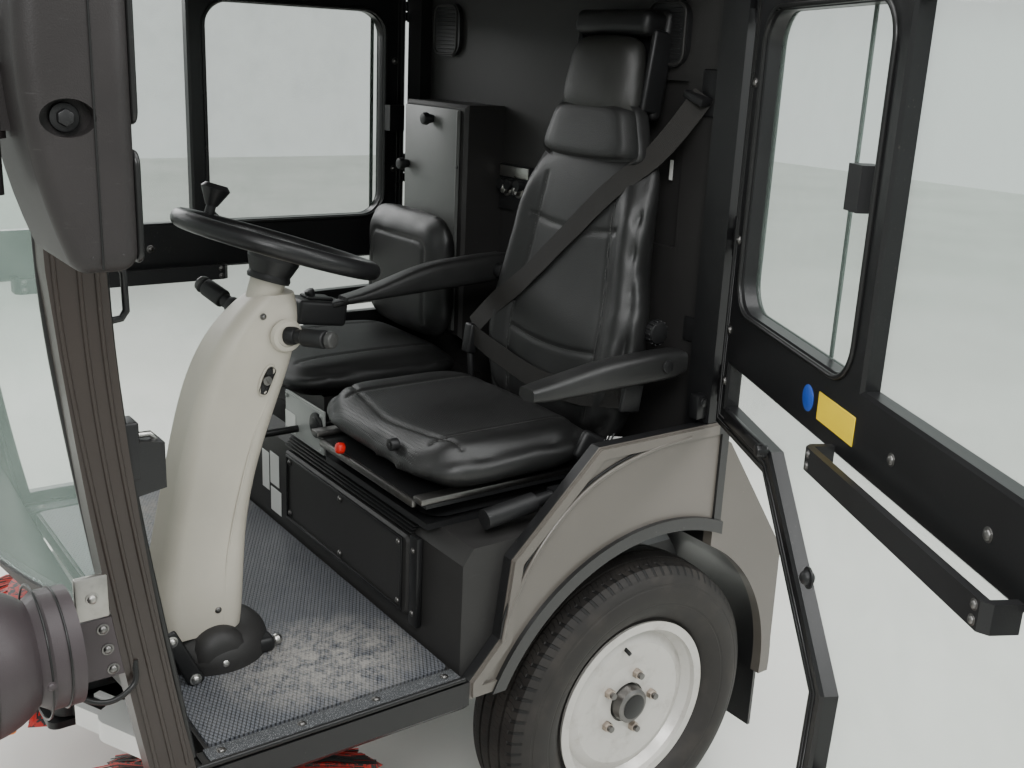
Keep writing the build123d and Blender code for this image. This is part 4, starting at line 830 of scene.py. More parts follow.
def back_shape(point):
    """Widths up the backrest, side bolsters and a swelling for the loins."""
    up = (point.y + 1) / 2 * (BACK_TOP - BACK_LOW) + BACK_LOW
    across = point.x
    out = point.z
    if out > 0:
        wing = smoothstep(0.58, 0.86, abs(across))
        out += wing * 0.034 * (1 - smoothstep(0.42, 0.56, up)) + 0.010 * (1 - abs(across) ** 2)
        out += 0.012 * math.exp(-((up - 0.16) / 0.09) ** 2)
    return Vector((across * half_width(up), up, out))


backrest = soft_form("driver_backrest", (2.0, 2.0, 0.062), 26, 7.0, 3.2)
fill(move_points(backrest, back_shape), 0.010)
fit(backrest, (BACK_WIDTH, BACK_TOP - BACK_LOW, BACK_THICK))
back_middle = (BACK_TOP + BACK_LOW) / 2
move_points(backrest, lambda point: on_back(-point.x, point.y + back_middle, point.z - BACK_MID))
# The way that a seam's points are thrown onto the backrest, from this far in front of it
into_back = (math.cos(BACK_TILT), 0, -math.sin(BACK_TILT))
BEFORE_BACK = 0.1
PANEL_EDGE = ((0.02, 0.135), (0.18, 0.150), (0.34, 0.128), (0.50, 0.112))
for side in (-1, 1):
    line = [on_back(side * w, h, BEFORE_BACK) for h, w in PANEL_EDGE]
    seam(f"backrest_panel_seam_{side + 2}", backrest, curved(line), into_back, double=0.003)
for number, height in enumerate((0.145, 0.395)):
    line = [on_back(w, height + 0.012 * (w / 0.14) ** 2, BEFORE_BACK) for w in (-0.142, -0.07, 0, 0.07, 0.142)]
    seam(f"backrest_cross_seam_{number + 1}", backrest, curved(line), into_back)
upholster(backrest, black_leather, "seat_leather", "cab", "seat_back")

# The backrest's neck, narrower towards the headrest
NECK = (0.330, 0.130, 0.080)
NECK_UP = 0.597


def on_neck(point):
    """Narrows the neck towards its top and sets it on the backrest."""
    narrow = 1 - 0.22 * smoothstep(-0.5, 0.5, point.y / NECK[1])
    return on_back(-point.x * narrow, point.y + NECK_UP, point.z - BACK_MID)


neck = move_points(soft_form("backrest_neck", NECK, 14, 5.0, 3.0), on_neck)
neck.data.shade_smooth()
neck.data.materials.append(black_leather)
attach(neck, "cab")

# Headrest: a pad narrower at its top, in a moulded black frame
HEAD_SIZE = (0.226, 0.164, 0.080)
HEAD_UP = 0.7075
HEAD_OUT = 0.040


def head_shape(point):
    """Narrows the headrest towards its top and swells the middle of its face."""
    taper = 1 - 0.10 * point.y / HEAD_SIZE[1] * 2
    out = point.z + (0.010 * (1 - (point.x / HEAD_SIZE[0] * 2) ** 2) if point.z > 0 else 0)
    return Vector((point.x * taper, point.y, out))


headpad = soft_form("driver_headrest", HEAD_SIZE, 18, 6.0, 3.0)
fill(move_points(headpad, head_shape), 0.008)
fit(headpad, HEAD_SIZE)
move_points(headpad, lambda point: on_back(-point.x, HEAD_UP + point.y, point.z - HEAD_OUT))
upholster(headpad, grey_leather, "seat_leather", "cab", "headrest")

# Passenger's seat: a plain cushion and a back with a sewn panel
PASS_Y = 0.325
PASS_CUSHION = (0.450, 0.430, 0.088)
PASS_CUSHION_C = Vector((-0.225, PASS_Y, 0.899))
PASS_BACK = (0.370, 0.310, 0.084)
PASS_BACK_C = Vector((-0.021, 0.355, 1.0945))


def crown(point):
    """Swells the middle of a pad's face."""
    if point.z > 0:
        point.z += 0.007 * (1 - (point.x / 0.225) ** 2)
    return point


pass_cushion = soft_form("passenger_cushion_pad", PASS_CUSHION, 18, 6.0, 3.0)
fill(move_points(pass_cushion, crown), 0.008)
move_points(fit(pass_cushion, PASS_CUSHION), lambda point: point + PASS_CUSHION_C - MOUNT)
for side in (-1, 1):
    seam(f"passenger_cushion_seam_{side + 2}", pass_cushion,
         [at(x, PASS_Y + side * 0.13, 1.0) for x in (-0.41, -0.06)], (0, 0, -1))
upholster(pass_cushion, black_leather, "seat_leather", "cab", "passenger_cushion")

pass_back = soft_form("passenger_back_pad", PASS_BACK, 18, 5.0, 3.0)
fill(move_points(pass_back, crown), 0.008)
# Stands the pad up, with its face towards the front
stand = Matrix(((0, 0, -1), (-1, 0, 0), (0, 1, 0)))
move_points(fit(pass_back, PASS_BACK), lambda point: stand @ point + PASS_BACK_C - MOUNT)
corners = [(-1, -1), (-1, 0.86), (-0.86, 1), (0.86, 1), (1, 0.86), (1, -1)]
panel = [PASS_BACK_C - MOUNT + Vector((-0.2, 0.128 * y, 0.100 * z - 0.01)) for y, z in corners]
seam("passenger_back_seam", pass_back, panel, (1, 0, 0))
upholster(pass_back, black_leather, "seat_leather", "cab", "passenger_back")


def wire(name, points, radius, material, body, closed=False):
    """A round wire, hose or seal along a line of points."""
    data = bpy.data.curves.new(name, "CURVE")
    data.dimensions = "3D"
    data.bevel_depth = radius
    data.bevel_resolution = 3
    data.use_fill_caps = True
    line = data.splines.new("POLY")
    line.points.add(len(points) - 1)
    for knot, point in zip(line.points, points):
        knot.co = (*point, 1.0)
    line.use_cyclic_u = closed
    data.materials.append(material)
    piece = add(name, data)
    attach(piece, body)
    return piece


def rounded(x1, z1, x2, z2, r, steps=8):
    """The points of a rounded rectangle in the XZ plane."""
    corners = ((x2 - r, z2 - r, 0), (x1 + r, z2 - r, 90), (x1 + r, z1 + r, 180), (x2 - r, z1 + r, 270))
    found = []
    for x, z, start in corners:
        for step in range(steps + 1):
            angle = math.radians(start + 90 * step / steps)
            found.append((x + r * math.cos(angle), z + r * math.sin(angle)))
    return found


def circle(r, steps):
    """The points of a circle about nought, as pairs."""
    angles = [math.tau * step / steps for step in range(steps)]
    return [(r * math.cos(angle), r * math.sin(angle)) for angle in angles]


def tilted(angle, axis):
    """A turn by that many degrees about one of the part's axes."""
    return Matrix.Rotation(math.radians(angle), 4, axis)


# Headrest's moulded frame
seat_frame = Piece("headrest_frame")
lean = tilted(math.degrees(BACK_TILT), "Y")
seat_frame.box(on_back(0, 0.7400, -0.090), (0.032, 0.244, 0.216), lean, 0.015, 4)
seat_frame.box(on_back(0, 0.8150, -0.060), (0.072, 0.226, 0.050), lean, 0.018, 5)
for side in (-1, 1):
    seat_frame.box(on_back(side * 0.114, 0.725, -0.072), (0.050, 0.016, 0.160), lean, 0.007, 3)
seat_frame.finish(black_plastic, "cab", "seat_leather")

# Armrests: long pads that taper to the front, each from its front to its rear x, low and high; their pivots
ARM_HALF = 0.026
ARM_STEPS = 14
for name, y, (front_x, front_low, front_high), (rear_x, rear_low, rear_high) in (
    ("left", -0.536, (-0.300, 1.026, 1.060), (0.078, 1.030, 1.092)),
    ("right", 0.016, (-0.384, 1.106, 1.124), (0.048, 1.128, 1.196)),
):
    rings = []
    for step in range(ARM_STEPS + 1):
        t = step / ARM_STEPS
        x = front_x + (rear_x - front_x) * t
        low = front_low + (rear_low - front_low) * t
        high = front_high + (rear_high - front_high) * (0.55 * smoothstep(0, 0.55, t) + 0.45 * t)
        swell = math.sqrt(max(0.0, 1 - ((step - ARM_STEPS / 2) / 7.35) ** 6))
        ring = []
        for turn in range(24):
            c, s = math.cos(math.tau * turn / 24), math.sin(math.tau * turn / 24)
            wide = math.copysign(abs(c) ** 0.5, c) * ARM_HALF * (0.72 + 0.28 * swell)
            tall = math.copysign(abs(s) ** 0.6, s) * (high - low) / 2 * (0.45 + 0.55 * swell)
            ring.append(at(x, y + wide, (high + low) / 2 + tall))
        rings.append(ring)
    pad = Piece(f"armrest_pad_{name}")
    pad.skin(rings)
    pad.finish(black_leather, "cab", "arm_plastic", replaces=["armrests"])
pivots = Piece("armrest_pivots")
for out, x, z in ((-1, 0.020, 1.062), (1, 0.000, 1.155)):
    pivots.rod(at(x, SEAT_Y + out * 0.225, z), at(x, SEAT_Y + out * 0.252, z), 0.017, bevel=0.002)
    pivots.rod(at(x, SEAT_Y + out * 0.300, z), at(x, SEAT_Y + out * 0.306, z), 0.013, bevel=0.002)
pivots.finish(black_plastic, "cab", "arm_plastic")

# Belt: from the slot in the rear wall over the shoulder to the buckle, and back across the lap
BELT_W = 0.047
BELT_T = 0.0018


def ribbon(name, stops, material, body, slot):
    """A flat strap along its stops, each a point and the normal of what it lies on."""
    strap = Piece(name)
    points = [point for point, _ in stops]
    rings = []
    for number, (point, normal) in enumerate(stops):
        along = points[min(number + 1, len(points) - 1)] - points[max(number - 1, 0)]
        side = along.cross(normal).normalized() * BELT_W / 2
        lift = side.cross(along).normalized() * BELT_T / 2
        rings.append([point + a + b for a, b in ((side, lift), (side, -lift), (-side, -lift), (-side, lift))])
    strap.skin(rings)
    return strap.finish(material, body, slot)


def eased(stops, times=6):
    """Evens out the points and normals of a strap between its ends."""
    for _ in range(times):
        stops = [stops[0], *(((a[0] + 2 * b[0] + c[0]) / 4, (a[1] + 2 * b[1] + c[1]) / 4)
                             for a, b, c in zip(stops, stops[1:], stops[2:])), stops[-1]]
    return stops


def worn_on_back(line, lift):
    """The stops of a strap that lies on the backrest along a line of (across, up) points."""
    path = spaced(curved([on_back(across, up, 0.15) for across, up in line]), 0.016)
    return on_surface(backrest, path, into_back, lift)


OVER_SHOULDER = ((-0.196, 0.566), (-0.105, 0.487), (-0.002, 0.388), (0.109, 0.28), (0.190, 0.203))
ACROSS_LAP = ((0.200, 0.096), (0.100, 0.072), (-0.020, 0.064), (-0.140, 0.072), (-0.205, 0.092))
shoulder = worn_on_back(OVER_SHOULDER, 0.005)
slot_at, slot_way = at(0.128, -0.487, 1.572), Vector((-0.5, -0.6, 0.6))
hang = [(slot_at.lerp(shoulder[0][0], t), slot_way.lerp(shoulder[0][1], t)) for t in (0, 0.25, 0.5, 0.75)]
buckle_at = on_back(0.262, 0.128, 0.005)
tail = [(shoulder[-1][0].lerp(buckle_at, t), shoulder[-1][1]) for t in (0.35, 0.7, 1)]
belt = ribbon("shoulder_belt", eased([*hang, *shoulder, *tail]), belt_finish, "cab", "webbing")
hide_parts("seat_belt")
lap = worn_on_back(ACROSS_LAP, 0.006)
lap_ends = (on_back(0.262, 0.110, 0.006), on_back(-0.262, 0.100, -0.020))
lap_line = [(lap_ends[0], lap[0][1]), *lap, (lap_ends[1], lap[-1][1])]
ribbon("lap_belt", eased(lap_line), belt_finish, "cab", "webbing")
buckle = Piece("belt_buckle")
buckle.box(on_back(0.266, 0.098, 0.004), (0.026, 0.030, 0.070), lean, 0.006, 3)
buckle.rod(on_back(0.266, 0.070, 0.000), on_back(0.262, -0.030, -0.020), 0.008, bevel=0.001)
buckle.box(on_back(-0.264, 0.100, -0.022), (0.050, 0.012, 0.060), lean, 0.005, 3)
buckle.finish(black_plastic, "cab", "webbing")

# The knob of the backrest's tilt with its ridges, the cushion's knob, and the ribbed cover at its side
TILT_KNOB_X, TILT_KNOB_Z = 0.040, 1.114
COVER_LEAN = tilted(28, "Y")
knobs = Piece("seat_knobs")
knobs.rod(at(TILT_KNOB_X, -0.492, TILT_KNOB_Z), at(TILT_KNOB_X, -0.512, TILT_KNOB_Z), 0.025, 0.022, 0.003, 28)
for turn in range(14):
    angle = math.tau * turn / 14
    place = at(TILT_KNOB_X + 0.024 * math.cos(angle), -0.502, TILT_KNOB_Z + 0.024 * math.sin(angle))
    knobs.box(place, (0.004, 0.016, 0.004), None, 0.001, 1)
knobs.rod(at(-0.458, -0.350, 0.918), at(-0.476, -0.350, 0.918), 0.012, bevel=0.002)
knobs.rod(at(-0.475, -0.350, 0.918), at(-0.479, -0.350, 0.918), 0.006, bevel=0.001)
knobs.box(at(-0.115, -0.520, 0.900), (0.095, 0.018, 0.060), COVER_LEAN, 0.012, 4)
for rib in range(5):
    place = at(-0.135 + 0.012 * rib, -0.530, 0.895 + 0.004 * rib)
    knobs.box(place, (0.003, 0.004, 0.046), COVER_LEAN, 0.001, 1)
knobs.finish(black_plastic, "cab", "seat_rubber")

# The seat's two slide rails and the bar that frees them
slide = Piece("seat_slide")
for y in (-0.470, -0.050):
    slide.box(at(-0.235, y, 0.8505), (0.500, 0.030, 0.012), None, 0.003)
slide.box(at(-0.478, SEAT_Y, 0.836), (0.012, 0.380, 0.016), None, 0.004)
slide.finish(dark_steel, "cab", "seat_rubber")

# Controls beside the seat: a box with a small stick at the armrest's end, and a plate with a dial below
controls = Piece("control_box")
controls.box(at(-0.430, 0.052, 1.088), (0.112, 0.078, 0.052), tilted(8, "Y"), 0.008, 3)
controls.box(at(-0.428, 0.052, 1.117), (0.060, 0.044, 0.006), tilted(8, "Y"), 0.003, 2)
controls.rod(at(-0.440, 0.052, 1.118), at(-0.446, 0.052, 1.134), 0.009, 0.011, 0.003)
controls.box(at(-0.365, 0.024, 1.109), (0.090, 0.028, 0.012), tilted(-6, "Y"), 0.004, 3)
controls.finish(black_plastic, "cab", "black_plastic")

grey_plate = paint("grey control plate", (0.27, 0.28, 0.27), 0.42, 0.1)
plate = Piece("control_plate")
plate.box(at(-0.452, 0.062, 0.838), (0.006, 0.190, 0.098), None, 0.0015)
plate.box(at(-0.4555, 0.062, 0.882), (0.002, 0.186, 0.003), None, 0)
plate.bolts([at(-0.4552, y, z) for y in (-0.024, 0.148) for z in (0.798, 0.876)], (-1, 0, 0), 0.0045, 0.003)
plate.finish(grey_plate, "cab", "interior_trim")
disc = Piece("control_disc")
disc.rod(at(-0.454, -0.004, 0.850), at(-0.461, -0.004, 0.850), 0.028, bevel=0.002, sides=40)
disc.rod(at(-0.460, -0.004, 0.850), at(-0.463, -0.004, 0.850), 0.019, 0.018, 0.001, 32)
disc.finish(black_plastic, "cab", "black_plastic")
red_knob = plastic("red knob", (0.55, 0.012, 0.008), 0.32, 900.0, 0.00003)
button = Piece("red_button")
button.rod(at(-0.478, -0.168, 0.8535), at(-0.492, -0.168, 0.857), 0.012, 0.011, 0.003)
button.finish(red_knob, "cab", "black_plastic")

blank_label = paint("blank label", (0.62, 0.62, 0.60), 0.4, 0.2, 0.00002, 0.1)
LABELS = ((-0.4508, 0.283, 0.652, 0.040, 0.096), (-0.4508, 0.232, 0.668, 0.050, 0.080),
          (-0.4508, 0.226, 0.590, 0.058, 0.060), (-0.4555, 0.130, 0.818, 0.052, 0.046))
labels = Piece("blank_labels")
for x, y, z, wide, high in LABELS:
    labels.box(at(x, y, z), (0.0012, wide, high), None, 0.0005, 1)
labels.finish(blank_label, "cab", "interior_trim")

# Seat box: the hatch's pressed frame, the ribbed ledge over it, the trunking beside it and their screws
hatch = Piece("hatch_trim")
for z in (0.590, 0.740):
    hatch.box(at(-0.4665, -0.128, z), (0.005, 0.520, 0.006), None, 0.002)
for y in (-0.385, 0.130):
    hatch.box(at(-0.4665, y, 0.665), (0.005, 0.006, 0.146), None, 0.002)
for step in range(4):
    hatch.box(at(-0.456 + 0.004 * step, -0.130, 0.7585 + 0.0055 * step), (0.010, 0.560, 0.0035), None, 0.0012)
hatch.box(at(-0.458, -0.426, 0.665), (0.014, 0.030, 0.186), None, 0.004)
hatch.finish(frame_black, "cab", "interior_trim")
screws = Piece("box_screws")
screws.bolts([at(-0.4645, y, z) for y in (-0.372, -0.128, 0.117) for z in (0.603, 0.727)], (-1, 0, 0),
             0.006, 0.004)
screws.bolts([at(-0.4655, -0.427, z) for z in (0.60, 0.73)], (-1, 0, 0), 0.005, 0.003)
screws.finish(dark_steel, "cab", "interior_trim")

# Rear wall: wall box door, thumb screws, speaker rims and grilles, switch knobs, belt slots, blank tags
box_door = Piece("wall_box_door")
box_door.box(at(0.026, 0.338, 1.228), (0.006, 0.250, 0.540), None, 0.002)
box_door.box(at(0.0215, 0.216, 1.228), (0.004, 0.004, 0.536), None, 0.001)
box_door.finish(plastic("wall box door", (0.085, 0.088, 0.084), 0.38, 700.0, 0.00008), "cab", "interior_trim")
thumbs = Piece("thumb_screws")
for y, z in ((0.332, 1.470), (0.446, 1.350)):
    thumbs.rod(at(0.024, y, z), at(0.008, y, z), 0.010, 0.012, 0.002, 16)
    thumbs.rod(at(0.009, y, z), at(-0.006, y, z), 0.016, 0.014, 0.003, 12)
thumbs.rod(at(0.022, 0.212, 1.364), at(0.019, 0.212, 1.364), 0.004, bevel=0.001)
thumbs.finish(black_plastic, "cab", "black_plastic")
for side, y in (("left", -0.367), ("right", 0.448)):
    ring = [at(0.1275, y + dy, 1.683 + dz) for dy, dz in rounded(-0.052, -0.058, 0.052, 0.058, 0.022)]
    wire(f"speaker_rim_{side}", ring, 0.0032, charcoal, "cab", True)
    grille = Piece(f"speaker_grille_{side}")
    for row in range(11):
        grille.box(at(0.1275, y, 1.636 + 0.0094 * row), (0.0022, 0.084, 0.0035), None, 0.001, 1)
    grille.finish(black_plastic, "cab", "black_plastic")
SWITCH_Z = 1.318
caps = Piece("switch_knobs")
for y in (0.100, 0.148):
    caps.rod(at(0.128, y, SWITCH_Z), at(0.112, y, SWITCH_Z), 0.013, 0.011, 0.002, 20)
    caps.rod(at(0.128, y, SWITCH_Z), at(0.125, y, SWITCH_Z), 0.018, bevel=0.001)
    caps.box(at(0.111, y, SWITCH_Z), (0.003, 0.003, 0.018), tilted(20, "X"), 0.001, 1)
caps.box(at(0.1265, 0.122, 1.360), (0.003, 0.116, 0.026), None, 0.002)
caps.finish(bright_steel, "cab", "black_plastic")
slots = Piece("belt_slots")
slots.box(at(0.138, -0.492, 1.575), (0.004, 0.040, 0.088), None, 0.004)
slots.box(at(0.138, -0.494, 1.110), (0.004, 0.030, 0.050), None, 0.003)
slots.box(at(0.120, -0.478, 1.565), (0.030, 0.055, 0.016), tilted(18, "X"), 0.004)
slots.finish(black_plastic, "cab", "black_plastic")
tag = Piece("blank_tag")
tag.box(at(0.1385, -0.403, 1.420), (0.001, 0.010, 0.040), None, 0.0004, 1)
tag.box(at(-0.070, -0.5225, 0.910), (0.040, 0.0012, 0.022), tilted(12, "Y"), 0.0004, 1)
tag.finish(blank_label, "cab", "black_plastic")

# Doors: window seals on both faces, pane edge, bolts, stickers, latch gear
seal_rubber = plastic("seal rubber", (0.008, 0.008, 0.008), 0.3, 900.0, 0.00004)


def leaf(side, x, y, z):
    """A point of a door, given for the closed left one."""
    return on_door(x, y, z) if side == "left" else at(x, -y, z)


# The y of a shut left door's inner and outer face, and its sliding window from low x and z to high x and z
DOOR_IN, DOOR_OUT = -0.603, -0.631
WINDOW = (-0.445, 1.200, 0.035, 1.720)
# The sealing line round a door: x, z and the way towards the door's middle
DOOR_LOOP = ((-0.454, 0.534, -1, 1), (-0.464, 0.706, -1, 0.4), (-0.170, 0.964, -0.4, 1), (0.090, 0.969, -1, 1),
             (0.090, 1.808, -1, -1), (-0.984, 1.808, 1, -1), (-1.010, 1.700, 1, 0), (-1.024, 1.600, 1, 0),
             (-1.036, 1.460, 1, 0), (-1.038, 1.340, 1, 0), (-1.031, 1.180, 1, 0), (-1.016, 1.022, 1, 0),
             (-0.986, 0.780, 1, 0), (-0.944, 0.534, 1, 1))
for side, _ in SIDES:
    body = f"{side}_door"
    for face, y, grow in (("in", DOOR_IN + 0.0015, 0.006), ("out", DOOR_OUT - 0.0055, 0.004)):
        x1, z1, x2, z2 = WINDOW
        outline = rounded(x1 - grow, z1 - grow, x2 + grow, z2 + grow, 0.062)
        wire(f"window_seal_{side}_{face}", [leaf(side, x, y, z) for x, z in outline], 0.0045,
             seal_rubber, body, True)
    edge = Piece(f"pane_edge_{side}")
    x = -0.305 if side == "left" else 0.020
    turn = Matrix.Rotation(DOOR_OPEN, 4, "Z") if side == "left" else None
    edge.box(leaf(side, x, -0.6375, 1.460), (0.010, 0.004, 0.520), turn, 0.001)
    edge.finish(seal_rubber, body, "tinted_glass")
    fixings = Piece(f"door_bolts_{side}")
    inward = leaf(side, 0, 1, 0) - leaf(side, 0, 0, 0)
    places = [(0.070, z) for z in (1.050, 1.150, 1.320, 1.600)] + [(x, 1.140) for x in (-0.60, -0.836)]
    fixings.bolts([leaf(side, x, DOOR_IN, z) for x, z in places], inward, 0.007, 0.004)
    for x in (-0.440, -0.900):
        fixings.bolts([leaf(side, x, DOOR_IN + 0.044, z) for z in (1.071, 1.089)], inward, 0.005, 0.003)
    fixings.finish(dark_steel, body, "black_frame")
    for number, grow in enumerate((0.0, 0.010)):
        line = [leaf(side, x + grow * dx, DOOR_IN - 0.0005, z + grow * dz) for x, z, dx, dz in DOOR_LOOP]
        wire(f"door_seal_{side}_{number + 1}", line, 0.003, seal_rubber, body, True)

turn = Matrix.Rotation(DOOR_OPEN, 4, "Z")
blue = paint("blue sticker", (0.010, 0.06, 0.34), 0.3, 0.3, 0.00002, 0.05)
yellow = paint("yellow sticker", (0.78, 0.55, 0.02), 0.3, 0.3, 0.00002, 0.05)
sticker = Piece("blue_sticker")
place = on_door(-0.317, DOOR_IN, 1.137)
inward = on_door(0, 1, 0) - on_door(0, 0, 0)
sticker.rod(place, place + inward * 0.001, 0.021, bevel=0.0003, sides=40)
sticker.finish(blue, "left_door", "black_frame")
sticker = Piece("yellow_sticker")
sticker.box(on_door(-0.421, DOOR_IN + 0.0006, 1.138), (0.128, 0.0012, 0.044), turn, 0.0005, 1)
sticker.finish(yellow, "left_door", "black_frame")

# Door check: its bracket on the pillar, its rail on the door, and a dome-headed stop
check = Piece("door_check_bracket")
check.box(at(0.098, -0.579, 0.975), (0.030, 0.026, 0.050), None, 0.004)
check.rod(at(0.098, -0.585, 0.985), at(0.098, -0.595, 0.985), 0.009, bevel=0.002)
check.finish(black_coat, "cab", "black_frame")
stop = Piece("door_check")
stop.box(on_door(-0.090, DOOR_IN + 0.010, 1.000), (0.200, 0.012, 0.022), turn, 0.003)
stop.rod(on_door(-0.180, DOOR_IN + 0.002, 1.000), on_door(-0.180, DOOR_IN + 0.022, 1.000), 0.011, bevel=0.002)
stop.finish(black_coat, "left_door", "black_frame")
dome = Piece("door_dome")
dome.bolts([on_door(-0.405, DOOR_IN, 0.872)], inward, 0.013, 0.012)
dome.finish(black_plastic, "left_door", "black_frame")

# Cab front: the windscreen's and doorways' seals, the pillars' ribs, handles, strikers, hinge bolts and lamp
# plates. Both lines go up the front pillar's edges, in x and z.
PILLAR_LINE = ((-0.950, 0.535), (-1.022, 1.022), (-1.044, 1.340), (-1.030, 1.600), (-0.985, 1.830))
GLASS_LINE = ((-1.017, 0.535), (-1.088, 1.022), (-1.119, 1.340), (-1.105, 1.600), (-1.057, 1.830))


def along_pillar(line, across, y, low=0.56, high=1.81, steps=26):
    """Points up a front pillar, a given way across from one of its edges."""
    smooth = curved([(x + across, y, z) for x, z in line], 10)
    heights = [low + (high - low) * step / steps for step in range(steps + 1)]
    found = []
    for a, b in zip(smooth, smooth[1:]):
        for height in heights:
            if a.z <= height < b.z:
                t = (height - a.z) / (b.z - a.z)
                found.append(a.lerp(b, t) - MOUNT)
    return found


for side, sign in SIDES:
    wire(f"screen_seal_{side}", along_pillar(GLASS_LINE, 0.004, sign * 0.5505, 0.83), 0.006,
         seal_rubber, "cab")
    ribs = ((PILLAR_LINE, -0.012), (PILLAR_LINE, -0.034), (GLASS_LINE, 0.010))
    for number, (line, across) in enumerate(ribs):
        wire(f"pillar_rib_{side}_{number + 1}", along_pillar(line, across, sign * 0.6000), 0.0034,
             pillar_coat, "cab")
    wire(f"cab_seal_{side}", along_pillar(PILLAR_LINE, 0.001, sign * 0.585, 0.56, 1.80), 0.006,
         seal_rubber, "cab")
    handle = [(-1.034, 1.332), (-1.020, 1.334), (-1.012, 1.326), (-1.011, 1.272), (-1.018, 1.262),
              (-1.034, 1.260)]
    wire(f"pillar_handle_{side}", [at(x, sign * 0.566, z) for x, z in handle], 0.0052,
         black_coat, "cab")
    striker = [(-1.014, 1.094), (-0.990, 1.094), (-0.984, 1.088), (-0.984, 1.072), (-0.990, 1.066),
               (-1.014, 1.066)]
    wire(f"striker_{side}", [at(x, sign * 0.572, z) for x, z in striker], 0.0048,
         bright_steel, "cab")
    latch = Piece(f"striker_plate_{side}")
    latch.box(at(-1.022, sign * 0.571, 1.076), (0.026, 0.040, 0.086), None, 0.004, 3)
    latch.bolts([at(-1.010, sign * 0.571, z) for z in (1.048, 1.106)], (1, 0, 0), 0.006, 0.004)
    latch.finish(black_plastic, "cab", "black_frame")
    hinges = Piece(f"hinge_bolts_{side}")
    hinges.bolts([at(0.146, sign * 0.6305, z + dz) for z in (1.030, 1.320, 1.740) for dz in (-0.028, 0.028)],
                 (0, sign, 0), 0.007, 0.005)
    hinges.finish(dark_steel, "cab", "black_frame")
    plate_bolts = Piece(f"lamp_bolts_{side}")
    plate_bolts.bolts([at(x, sign * 0.600, z) for x, z in ((-1.078, 0.824), (-1.073, 0.791), (-1.067, 0.758))],
                      (0, sign, 0), 0.0065, 0.005)
    plate_bolts.finish(dark_steel, "cab", "black_plastic")
    corner_plate = Piece(f"corner_plate_{side}")
    corner_plate.box(at(-1.090, sign * 0.596, 0.875), (0.046, 0.010, 0.066), None, 0.003)
    corner_plate.bolts([at(-1.090, sign * 0.601, 0.875)], (0, sign, 0), 0.007, 0.005)
    corner_plate.finish(steel("corner plate", (0.34, 0.33, 0.31), 0.42), "cab", "black_plastic")
    loop = curved([at(-1.128, sign * 0.598, 0.790), at(-1.120, sign * 0.612, 0.738),
                   at(-1.080, sign * 0.616, 0.716), at(-1.042, sign * 0.610, 0.730),
                   at(-1.036, sign * 0.600, 0.762)], 8)
    wire(f"lamp_cable_{side}", loop, 0.0042, seal_rubber, "cab")

# Headlamps: lens with its bezel, seams and an amber lens; the mirrors' bolts, seams and glass
LAMP_X, LAMP_Y, LAMP_Z = -1.215, 0.640, 0.838
LAMP_STEPS = 56
LENS_PROFILE = [(0.0, 0.1035), (0.030, 0.1010), (0.055, 0.0960), (0.072, 0.0890), (0.080, 0.0810),
                (0.080, 0.070), (0.0, 0.070)]
BEZEL_PROFILE = [(0.080, 0.070), (0.090, 0.070), (0.094, 0.080), (0.090, 0.089), (0.082, 0.092), (0.079, 0.084)]
MIRROR_X, MIRROR_Y = -1.0845, 0.800
lens_finish = lens_with_painted_light()
mirror_glass = steel("mirror glass", (0.72, 0.74, 0.75), 0.05)
amber = plastic("amber lens", (0.80, 0.22, 0.01), 0.2, 700.0, 0.00004)
for side, sign in SIDES:
    for number, (x, r) in enumerate(((-1.243, 0.1005), (-1.176, 0.0905), (-1.150, 0.0820))):
        ring = [at(x, sign * LAMP_Y + dy, LAMP_Z + dz) for dy, dz in circle(r, LAMP_STEPS)]
        wire(f"lamp_seam_{side}_{number + 1}", ring, 0.0016, seal_rubber, "cab", True)
    lamp = at(LAMP_X, sign * LAMP_Y, LAMP_Z)
    lens = Piece(f"lamp_lens_{side}")
    lens.turned(LENS_PROFILE, (-1, 0, 0), lamp, LAMP_STEPS)
    lens.finish(lens_finish, "cab", "black_plastic")
    bezel = Piece(f"lamp_bezel_{side}")
    bezel.turned(BEZEL_PROFILE, (-1, 0, 0), lamp, LAMP_STEPS)
    bezel.bolts([at(-1.180, sign * 0.7375, LAMP_Z)], (0, sign, 0), 0.005, 0.003)
    bezel.finish(lamp_plastic, "cab", "black_plastic")
    indicator = Piece(f"indicator_{side}")
    indicator.box(at(-1.232, sign * 0.650, 0.749), (0.040, 0.036, 0.018), None, 0.005, 3)
    indicator.finish(amber, "cab", "black_plastic")

    head = Piece(f"mirror_bolt_{side}")
    head.rod(at(-1.153, sign * 0.873, 1.548), at(-1.153, sign * 0.879, 1.548), 0.015, bevel=0.002, sides=28)
    head.rod(at(-1.153, sign * 0.878, 1.548), at(-1.153, sign * 0.885, 1.548), 0.0095, 0.009, 0.0015, 6)
    head.finish(black_plastic, "cab", "black_plastic")
    face = Piece(f"mirror_glass_{side}")
    face.box(at(MIRROR_X, sign * MIRROR_Y, 1.660), (0.004, 0.150, 0.226), None, 0.0015)
    face.box(at(MIRROR_X, sign * MIRROR_Y, 1.455), (0.004, 0.150, 0.106), None, 0.0015)
    face.finish(mirror_glass, "cab", "black_plastic")
    for number, (low, high) in enumerate(((1.544, 1.776), (1.399, 1.511))):
        rim = [at(-1.084, sign * MIRROR_Y + dy, z) for dy, z in rounded(-0.078, low, 0.078, high, 0.012)]
        wire(f"mirror_rim_{side}_{number + 1}", rim, 0.004, seal_rubber, "cab", True)
    seam_line = curved([at(-1.128, sign * 0.8925, z) for z in (1.395, 1.50, 1.66, 1.806)], 8)
    wire(f"mirror_seam_{side}", seam_line, 0.0012, seal_rubber, "cab")

